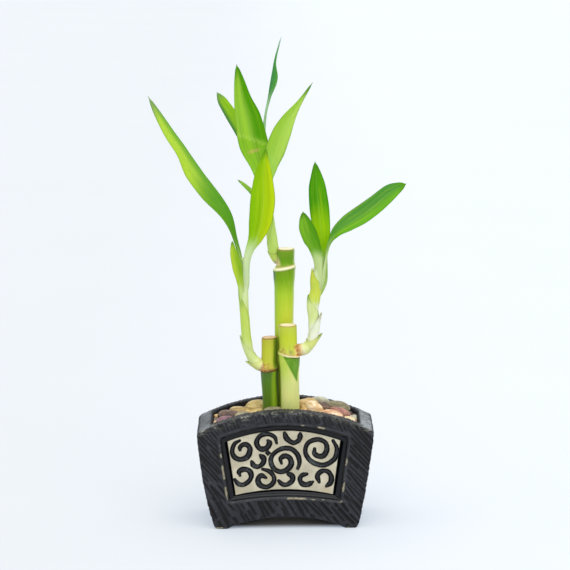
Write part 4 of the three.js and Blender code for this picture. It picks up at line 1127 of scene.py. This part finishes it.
# ---------------------------------------------------------------- shoots
# Path: x, y, z, radius. Tones along it. Sheaths that wrap it: from, to, side it points to in
# degrees, share before it narrows, flare, lift, tone, tip tone.
SHOOTS = {
    "shoot_left": {
        "path": [(-12.6, -3.4, 99.8, 3.5), (-15, -3.5, 100.6, 3.7), (-17, -3.8, 101.8, 3.7),
            (-19.8, -4.4, 104.6, 3.1), (-22.2, -4.9, 109.6, 2.8), (-23.6, -5.2, 115.6, 2.9),
            (-24.4, -5.4, 123.6, 2.7), (-25, -5.5, 135, 2.7), (-25.4, -5.5, 147.6, 2.9),
            (-25.3, -5.5, 160, 2.6), (-25.2, -5.5, 169.6, 1.8)],
        "tones": [(0, "#a8642a"), (0.08, "#cc9858"), (0.12, "#ecd9a4"), (0.18, "#f2f0b0"),
            (0.36, "#e6f0a8"), (0.55, "#dcec98"), (0.7, "#dbeb92"), (0.82, "#e3efb8"), (1, "#d6e8a0")],
        "sheaths": [
            (0.1, 0.33, 186, 0.35, 1.9, 0.1, "#eef29c", "#cfd88c"),
            (0.22, 0.57, 180, 0.3, 1.2, 0.12, "#e0ee9c", "#b3cf60"),
            (0.44, 0.82, 184, 0.55, 0.4, 0.14, "#c9e060", "#8fbf24")]},
    "shoot_right": {
        "path": [(6.4, -8, 111.2, 3.6), (9.4, -8, 111.4, 3.9), (12.4, -8.2, 112, 3.6),
            (15.2, -8.4, 114.4, 3.1), (17.2, -8.6, 118, 3), (18.1, -8.7, 123, 3.2), (18.2, -8.8, 131, 3.1),
            (17.8, -8.8, 138, 3.5), (18.4, -8.8, 143.6, 3.6), (19.6, -8.8, 149, 3.2),
            (20.2, -8.8, 156, 3.6), (22, -8.8, 164, 3.4), (23.4, -8.7, 170.6, 2.2)],
        "tones": [(0, "#b0681c"), (0.08, "#cc8a36"), (0.12, "#eed9a0"), (0.17, "#fcf8da"),
            (0.28, "#f4f6bc"), (0.36, "#f6f8cc"), (0.46, "#fdfdf0"), (0.56, "#fbfce8"), (0.66, "#dcec84"),
            (0.8, "#cfe66c"), (0.9, "#e3efc0"), (1, "#b9dc88")],
        "sheaths": [
            (0.13, 0.33, 176, 0.3, 0.4, 0.1, "#eaf09c", "#8c8a44"),
            (0.18, 0.41, 0, 0.25, 2.3, 0.12, "#edf28c", "#a8b450"),
            (0.3, 0.545, -12, 0.2, 2.2, 0.14, "#fbfce6", "#b8b48c"),
            (0.42, 0.7, 190, 0.3, 0.7, 0.16, "#e4f0a0", "#74ac08"),
            (0.6, 0.9, 188, 0.5, 1, 0.18, "#d3e04a", "#d9dc3a"),
            (0.74, 0.985, -20, 0.3, 0.7, 0.14, "#dcecae", "#6f9c3a")]},
    "shoot_back": {
        "path": [(-3.6, 6.4, 164.6, 2.2), (-5.4, 7.4, 168, 2.9), (-6.7, 8, 173, 3.3), (-7.6, 8.2, 180, 3.2),
            (-9.4, 8.2, 192, 3), (-11.2, 8.2, 203, 2.8), (-12.4, 8.2, 213, 2.2), (-12.9, 8.2, 219, 1.6)],
        "tones": [(0, "#c9b67c"), (0.1, "#ccc48a"), (0.22, "#cfe66a"), (0.45, "#c9e668"), (0.7, "#c0e264"),
            (1, "#b3dc5c")],
        "sheaths": [
            (0.02, 0.27, 184, 0.3, 0.5, 0.1, "#cbe064", "#afc454"),
            (0.2, 0.62, 8, 0.35, 0.3, 0.12, "#c9e670", "#aed458")]},
}
SHOOT_SIDES, SHOOT_ROWS = 30, 110
SHEATH_ROWS, SHEATH_COLUMNS = 34, 30
SHEATH_HALF_WRAP = 178            # degrees each way round the stem
SHEATH_OUTER, SHEATH_INNER = 0.12, 0.18


def tones_at(stops, t):
    colours = np.array([linear(c) for _, c in stops])
    return np.stack([np.interp(t, [p for p, _ in stops], colours[:, k]) for k in range(3)], 1)


def shoot_material():
    m = Shade("young_stem")
    tone = m.colour("tone")
    bark, edge = m.values("bark", "edge")
    fibre = m.noise((1300, 1300, 55), 3, 0.6)
    broad = m.noise((500, 500, 25), 3, 0.6)
    tone = tone.mix(fibre.span(0.5, 0.72, 0.35), tone.mix(0.65, "#fafce6"))
    tone = tone.mix(fibre.span(0.46, 0.3, 0.2), tone.mix(0.55, "#84b420"))
    tone = tone.mix(broad.span(0.52, 0.66, 0.3), tone.mix(0.5, "#a3cc34"))
    tone = tone.mix(bark * m.noise(520, 4, 0.7).span(0.42, 0.58) * 0.7, "#efd69c")
    # Painted shade: a darker green along the sheaths' free edges.
    tone = tone.mix(edge * 0.55, tone.mix(0.5, "#7a9a34"))
    return m.finish(tone, 0.4, (fibre + broad, 0.00015, 0.5), tone.mix(0.25, "#d6ee7a"), 0.22,
                    Specular_IOR_Level=0.34)


def build_shoot(name, path, stops, sheaths, material):
    t = np.linspace(0, 1, SHOOT_ROWS)
    at, side, back, (radius,) = along_path(path, t)
    angle = np.linspace(0, 2 * math.pi, SHOOT_SIDES, endpoint=False)
    flute = 1 + 0.02 * np.cos(3 * angle + 5 * t[:, None]) + 0.012 * np.cos(7 * angle)
    around = round_path(np.tile(angle, (SHOOT_ROWS, 1)), side, back)
    stem = at[:, None] + (radius[:, None] * flute)[..., None] * around
    points = [stem.reshape(-1, 3), at[:1], at[-1:]]
    faces = []
    for k in range(SHOOT_ROWS - 1):
        faces += strip(ring_of(k + 1, SHOOT_SIDES), ring_of(k, SHOOT_SIDES))
    n = SHOOT_ROWS * SHOOT_SIDES
    faces += fan(n, ring_of(0, SHOOT_SIDES)) + fan(n + 1, ring_of(SHOOT_ROWS - 1, SHOOT_SIDES))
    tones = [np.repeat(tones_at(stops, t), SHOOT_SIDES, 0), tones_at(stops, t[[0, -1]])]
    edges = [np.zeros(n + 2)]
    for start, end, toward, hold, flare, lift, tone, tip_tone in sheaths:
        sheath, share, edge = sheath_points(path, start, end, toward, hold, flare, lift)
        offset = sum(map(len, points))
        points.append(sheath)
        faces += [[offset + i for i in f] for f in shell_faces(SHEATH_ROWS - 1, SHEATH_COLUMNS - 1)]
        stem_tone = tones_at(stops, start + (end - start) * share)
        body = faded(stem_tone, linear(tone), smoothstep(0.0, 0.35, share))
        tones.append(faded(body, linear(tip_tone), smoothstep(0.7, 1.0, share)))
        edges.append(edge)
    edge = np.concatenate(edges)
    bark = np.zeros(len(edge))
    bark[:n] = np.repeat(1 - smoothstep(0.09, 0.16, t), SHOOT_SIDES)
    bark[n] = 1
    make("stem_" + name.split("_")[1], np.vstack(points), faces, material, "shoot", name,
         edge=edge, bark=bark, tone=np.vstack(tones))


def sheath_points(path, start, end, toward, hold, flare, lift):
    """A thin leaf base that wraps the stem, narrows to a point and stands off it a little."""
    a = np.linspace(0, 1, SHEATH_ROWS)[:, None]
    b = np.linspace(-1, 1, SHEATH_COLUMNS)
    at, side, back, radius = along_path(path, start + (end - start) * a[:, 0])
    narrow = np.clip((a - hold) / (1 - hold), 0, 1)
    phi = math.radians(toward) + (np.radians(SHEATH_HALF_WRAP) * (1 - narrow ** 1.25) + 0.02) * b
    off = radius.T + lift * smoothstep(0, 0.12, a) + flare * narrow ** 2.2 * (1 - 0.3 * b ** 2)
    away = round_path(phi, side, back)
    outer, inner = off + SHEATH_OUTER * smoothstep(0, 0.1, a), off - SHEATH_INNER
    layers = [at[:, None] + away * depth[..., None] for depth in (outer, inner)]
    # edge marks the sheaths' free edges, where the material paints shade.
    share, edge = np.tile(a, SHEATH_COLUMNS), np.abs(b) ** 6 * (narrow > 0)
    return np.vstack(layers).reshape(-1, 3), np.tile(share.ravel(), 2), np.tile(edge.ravel(), 2)


young_stem = shoot_material()
for shoot_name, shoot in SHOOTS.items():
    build_shoot(shoot_name, shoot["path"], shoot["tones"], shoot["sheaths"], young_stem)


# ---------------------------------------------------------------- leaves
LEAVES = {        # stations from the base to the tip: x, y, z, width, roll, cup
    "leaf_left_long": [(-28.6, -5.2, 158, 8, 84, 74), (-28.2, -5, 168, 7, 78, 62),
        (-30.8, -3.6, 180.4, 5.6, 62, 44), (-36.3, 0, 195.6, 8.8, 42, 26), (-48.1, 5, 210, 12, 34, 20),
        (-56.5, 8, 221.2, 12.2, 34, 18), (-63.4, 11, 234, 8.8, 36, 16), (-71.4, 14, 245.8, 7.4, 36, 14),
        (-78.6, 17, 258, 5, 36, 12), (-84.3, 19, 268.8, 0.9, 36, 8)],
    "leaf_left_front": [(-23.2, -8, 155, 6.4, 210, 70), (-22.8, -8.6, 166.4, 6, 208, 60),
        (-20.8, -9.4, 175.2, 6.8, 204, 40), (-17.2, -10.6, 183, 10.2, 198, 26),
        (-14.2, -12.4, 193.2, 15, 196, 20), (-12.7, -14.6, 205.5, 16.4, 196, 18),
        (-12.4, -17, 218.3, 13.4, 197, 16), (-11.9, -19.5, 228, 8.8, 200, 14),
        (-11.2, -21.5, 235.2, 4.2, 205, 12), (-10.5, -23, 240.9, 0.9, 205, 8)],
    "leaf_left_small": [(-27.4, -8.8, 150, 5, 34, 66), (-28.2, -10.1, 157.4, 5.4, 26, 40),
        (-29.3, -10.9, 164, 6.6, 22, 30), (-30.7, -11.5, 170.3, 5.8, 22, 24),
        (-31.7, -12, 176, 3.8, 22, 16), (-32.1, -12.4, 181.6, 0.9, 20, 8)],
    "leaf_back_broad": [(-13.2, 5, 203, 7, 10, 70), (-13.2, 6, 213.4, 8, 8, 50),
        (-14.4, 6.8, 224.6, 11.6, 4, 26), (-18.4, 6.6, 240.7, 18.8, -4, 20), (-21.5, 5, 256, 16.8, -8, 18),
        (-24.6, 3, 268.1, 11.2, -8, 16), (-26.6, 1, 279.4, 6.6, -6, 12), (-28.3, -1, 290.2, 0.9, -4, 8)],
    "leaf_back_right": [(-8.6, 7.4, 206, 6, -72, 66), (-9.2, 5.2, 215.6, 7.4, -40, 46),
        (-7.3, 3.2, 226.4, 9.8, -26, 28), (-4.1, 1.4, 237.2, 13.4, -20, 22),
        (-0.7, -0.6, 246.6, 12.4, -18, 18), (3.5, -2.6, 255.6, 8.8, -18, 16),
        (7.8, -4.4, 262.6, 5.2, -20, 14), (12.4, -6.2, 269.6, 2.6, -24, 12),
        (18.5, -8, 279.1, 0.9, -28, 8)],
    "leaf_back_rear": [(-13.6, 11.8, 206, 6, 150, 66), (-14.6, 12.6, 217, 6.6, 156, 50),
        (-20.7, 14.6, 233.7, 7.8, 158, 28), (-27, 16.6, 246.8, 8.8, 156, 20),
        (-32.8, 18.6, 256.8, 8.6, 154, 16), (-37.4, 20.4, 264, 7.6, 152, 12),
        (-41.3, 22, 270.7, 0.9, 150, 8)],
    "leaf_back_top": [(-11.2, 10.4, 219.6, 5, -60, 50), (-11.6, 11.6, 241.4, 5, -66, 34),
        (-10.4, 12.4, 257, 4.6, -74, 26), (-7.9, 13.2, 267.5, 5, -70, 22), (-4.9, 14, 279.4, 5.2, -36, 18),
        (-4.3, 15, 290.6, 2.6, -56, 14), (-0.5, 17, 305.4, 0.9, -60, 8)],
    "leaf_back_small": [(-13.6, 8.6, 197.4, 6, 86, 66), (-16.2, 9.6, 203.6, 4.8, 60, 44),
        (-20, 12, 208.4, 4, 40, 28), (-24.7, 14, 212.8, 2.6, 36, 18), (-28.6, 15.4, 215.8, 0.9, 36, 8)],
    "leaf_right_upright": [(24.6, -6, 156, 6, 0, 66), (24.4, -5.8, 166, 6, 4, 56),
        (23.9, -6.2, 175, 6.8, 10, 44), (23.2, -6, 185.2, 11.4, 18, 26), (21.8, -5, 200.7, 13.4, 20, 20),
        (20.8, -4.2, 211.9, 12, 22, 18), (20.3, -3.4, 221.1, 7.4, 24, 14), (19.6, -2.6, 229.7, 0.9, 26, 8)],
    "leaf_right_small": [(20.6, -12, 156.4, 6, 150, 66), (20.4, -12.6, 168, 7, 152, 48),
        (18.8, -13.6, 176.2, 9, 156, 30), (16.4, -14.8, 182.2, 11, 158, 22),
        (14.4, -16, 188.4, 11, 158, 18), (12.9, -17.2, 194.4, 8, 156, 14), (11.8, -18, 200.6, 0.9, 154, 8)],
    "leaf_right_long": [(25, -10.2, 157, 5.6, -96, 74), (26.3, -10.8, 168, 5.6, -92, 60),
        (28.4, -11.2, 178.4, 4.6, -70, 44), (32.9, -12.5, 186.6, 8, -40, 28),
        (40, -14, 192.4, 11.2, -28, 20), (48.3, -15.5, 197.8, 12.2, -24, 18),
        (56.9, -17, 204.4, 11.8, -24, 16), (64.9, -18.5, 211.4, 10.8, -26, 14),
        (70.6, -19.5, 215, 7, -28, 12), (75.6, -20.5, 217.6, 0.9, -28, 8)],
}
# Tones of the sheath, low on the blade, its left and right half and its tip, the shares of the
# length where the sheath's and the low tone end, and where and how softly the halves meet.
# The two halves' tones differ as painted light and shade: the half turned to the light is lighter.
LEAF_TONES = {
    "leaf_left_long": ("#d9ea98", "#5ea326", "#bfdc48", "#72b03a", "#86a86a", 0.2, 0.6, 0.42, 0.5),
    "leaf_left_front": ("#e6f2c4", "#bde250", "#9dd000", "#d6e60a", "#63a51a", 0.3, 0.42, 0.1, 0.9),
    "leaf_left_small": ("#dcea9c", "#c0da50", "#c6da40", "#a2c82c", "#5f9c28", 0.1, 0.35, 0, 0.5),
    "leaf_back_broad": ("#bce45c", "#b0e050", "#abd844", "#5cab00", "#4f9c0c", 0.1, 0.5, 0.1, 0.35),
    "leaf_back_right": ("#c3e878", "#c0e870", "#afd94c", "#c6e56c", "#4f903c", 0.1, 0.4, 0, 0.8),
    "leaf_back_rear": ("#a3d052", "#5ba23c", "#5a9a4a", "#a6d42c", "#86b06a", 0.1, 0.3, -0.45, 0.25),
    "leaf_back_top": ("#cfe8cc", "#c0e0c0", "#46985a", "#55aa54", "#8fc0a0", 0.1, 0.62, 0, 0.6),
    "leaf_back_small": ("#a9d44c", "#a9d650", "#a0d050", "#b5dc60", "#7f9c5c", 0.1, 0.4, 0, 0.6),
    "leaf_right_upright": ("#d6e8a0", "#a3d000", "#459a00", "#54a600", "#458e10", 0.24, 0.66, 0, 0.6),
    "leaf_right_small": ("#dbeaa8", "#7fbe38", "#8cc830", "#60a818", "#4a8a20", 0.3, 0.4, 0.1, 0.5),
    "leaf_right_long": ("#dbeaa8", "#5cb200", "#58a040", "#78bf28", "#5aa014", 0.27, 0.4, 0.3, 0.6),
}
CREASE = ((-27.4, 244.2), (-10.8, 238.6))       # a fold across the broad back leaf, and a scar under it
SCAR = ((-21.9, 233.7), (-15.3, 235.4))
LEAF_ROWS, LEAF_COLUMNS = 100, 18
# Stations below a leaf's base: drop, share of the way out of the stem, share of the base's width.
ROOTS = ((13, 0.25, 0.55), (6.5, 0.7, 0.85))
WAVE, PLEAT, KEEL, TIP_WIDTH = 0.24, 0.05, 0.22, 0.22
THIN, THICK = 0.06, 0.2           # half of its thickness at the edge, and what its middle adds


def leaf_material():
    m = Shade("leaf_blade")
    tone = m.colour("tone")
    across, along, own, blade = m.values("across", "along", "own", "blade")
    m.at = m.node("ShaderNodeCombineXYZ", {"X": across + own, "Y": along, "Z": own})
    veins = m.noise((15, 2.0, 1), 4, 0.65)
    broad = m.noise((3.2, 1.3, 1), 3, 0.55, 0.3)
    tone = tone.mix(veins.span(0.5, 0.72, 0.3), tone.mix(0.5, "#e4f24c"))
    tone = tone.mix(veins.span(0.5, 0.3, 0.36), tone.mix(0.6, "#2f7c00"))
    tone = tone.mix(blade * broad.span(0.53, 0.7, 0.36), tone.mix(0.6, "#d6ea24"))
    tone = tone.mix(blade * broad.span(0.47, 0.3, 0.4), tone.mix(0.6, "#2f8000"))
    rib = blade * abs(across).span(0.09, 0.0, 0.22)
    tone = tone.mix(rib, tone.mix(0.5, "#cfe88a"))
    tone = tone.mix((blade * 0.7 + 0.3) * abs(across).span(0.84, 1.0, 0.4), tone.mix(0.6, "#2f6e10"))
    tone = tone.mix(along.span(0.975, 1.0, 0.6), "#8a8f6c")
    return m.finish(tone, veins.span(0.3, 0.7, 0.5, 0.42), (veins + rib * -1.5, 0.00025, 0.45),
                    tone.mix(0.45, "#b4e600"), 0.36, Specular_IOR_Level=0.12)


def rooted(name, stations):
    """Two more stations below the base, where the leaf's sheath dives into its own stem."""
    path = np.array(SHOOTS["shoot_" + name.split("_")[1]]["path"])
    base = stations[0]

    def stem_at(level):
        return np.array([np.interp(level, path[:, 2], path[:, k]) for k in (0, 1)])

    added = []
    for drop, share, narrow in ROOTS:
        at = stem_at(base[2] - drop) + share * (base[:2] - stem_at(base[2]))
        added.append([*at, base[2] - drop, base[3] * narrow, *base[4:]])
    return np.vstack([added, stations])


def above(line, x, z):
    """How far above a line through two points the places are."""
    (x0, z0), (x1, z1) = line
    return z - (z0 + (z1 - z0) * (x - x0) / (x1 - x0))


def creased(x, z, tone):
    """The broad leaf was folded once: a pale crease across it, and a scar below. Just below the crease the
    blade's two halves are painted one lighter green: painted light where the folded blade turns to the
    light.
    """
    fold = above(CREASE, x, z)
    tone = faded(tone, linear("#9cd030"), 0.8 * smoothstep(0.5, -0.5, fold) * smoothstep(-30, -12, fold))
    tone = faded(tone, linear("#c6e660"), 0.7 * smoothstep(0.0, 0.4, fold) * smoothstep(3.4, 0.6, fold))
    start, end = SCAR[0][0], SCAR[1][0]
    inside = smoothstep(start - 1, start + 1.5, x) * smoothstep(end + 1.5, end - 0.5, x)
    return faded(tone, linear("#ecc27c"), 0.85 * inside * smoothstep(1.1, 0.3, np.abs(above(SCAR, x, z))))


def build_leaf(name, stations, material, number):
    given = len(stations)
    t = np.linspace(0, 1, LEAF_ROWS + 1)
    at, side, back, (broad, roll, cup) = along_path(rooted(name, np.array(stations, float)), t)
    share = (t * (given + 1) - 2) / (given - 1)          # 0 at the first given station, 1 at the tip
    end = smoothstep(0.955, 1.0, share)
    broad = broad * (1 - end) + TIP_WIDTH * end
    facing = np.sign(np.cos(np.radians(roll)) + 1e-9)    # -1 where the upper side looks away
    roll, bend = np.radians(roll), np.radians(cup)
    roll, share, broad, bend = (value[:, None] for value in (roll, share, broad, bend))
    across = side * np.cos(roll) + back * np.sin(roll)
    lift = side * np.sin(roll) - back * np.cos(roll)
    radius = broad / 2 / bend
    small = np.minimum(1, broad / 8)
    u = np.linspace(-1, 1, LEAF_COLUMNS + 1)
    wave = WAVE * u ** 2 * np.sin(2 * math.pi * (2.5 * share + 0.2 * u)) * np.minimum(1, broad / 9)
    keel = KEEL * bell(u, 0, 0.12) * small * smoothstep(0.15, 0.35, share)
    rise = radius * (1 - np.cos(u * bend)) + wave + PLEAT * np.cos(u * 17) * small - keel
    grid = at[:, None] + across[:, None] * (radius * np.sin(u * bend))[..., None] \
        + lift[:, None] * rise[..., None]
    normal = np.cross(np.gradient(grid, axis=1), np.gradient(grid, axis=0))
    normal /= np.maximum(np.linalg.norm(normal, axis=2, keepdims=True), 1e-9)
    thick = (THIN + THICK * (1 - np.abs(u) ** 2.5)) * np.minimum(1, broad / 4 + 0.15)
    layers = [grid + normal * thick[..., None], grid - normal * thick[..., None]]

    *tones, sheath_end, low_end, split, soft = LEAF_TONES[name]
    sheath, low, left, right, tip = (linear(tone) for tone in tones)
    u, share, facing = np.tile(u, len(t)), np.repeat(share, len(u)), np.repeat(facing, len(u))
    # The halves' tones are painted light and shade.
    tone = faded(left, right, smoothstep(split - soft, split + soft, u * facing))
    from_base = share + 0.05 * np.abs(u)
    for onto, start, stop in ((low, low_end, low_end - 0.2), (sheath, sheath_end + 0.07, sheath_end - 0.1),
                              (tip, 0.85, 1.0)):
        tone = faded(tone, onto, smoothstep(start, stop, from_base))
    if name == "leaf_back_broad":
        tone = creased(*grid.reshape(-1, 3)[:, [0, 2]].T, tone)
    make("blade_" + name[5:], np.vstack(layers).reshape(-1, 3), shell_faces(LEAF_ROWS, LEAF_COLUMNS),
         material, "leaf", name, across=np.tile(u, 2), along=np.tile(np.clip(share, 0, 1), 2),
         own=np.full(2 * len(u), 3.3 * number), tone=np.tile(tone, (2, 1)),
         blade=np.tile(smoothstep(sheath_end - 0.1, sheath_end + 0.07, share), 2))


blade_skin = leaf_material()
for leaf_number, (leaf_name, leaf_stations) in enumerate(LEAVES.items()):
    build_leaf(leaf_name, leaf_stations, blade_skin, leaf_number)


# ---------------------------------------------------------------- floor and end
FLOOR_REACH = 9                   # metres
POT_HALF_SIZE = (0.047, 0.025)    # metres


def floor_material():
    """Pale paper that gives off a little light of its own outside the pot's footprint: painted light, which
    leaves a painted shadow under the pot and is a little stronger towards the right.
    """
    m = Shade("pale_floor")
    x, y, _ = m.split(m.at)
    outside = m.most(abs(x - OFFSET[0] / 1000) - POT_HALF_SIZE[0], abs(y) - POT_HALF_SIZE[1])
    glow = outside.span(-0.011, 0.0) * x.span(-0.2, 0.2, 0.52, 0.43)
    return m.finish(m.mix(m.noise(3.0, 2), "#aaa6a0", "#aeaaa4"), 0.85, Specular_IOR_Level=0.2,
                    Emission_Color=(0.67, 0.81, 1.0, 1), Emission_Strength=glow)


floor_mesh = bpy.data.meshes.new("floor")
corners = FLOOR_REACH * np.array([(-1, -1, 0), (1, -1, 0), (1, 1, 0), (-1, 1, 0)])
floor_mesh.from_pydata(corners.tolist(), [], [(0, 1, 2, 3)])
floor_mesh.materials.append(floor_material())
floor = place("floor", floor_mesh)
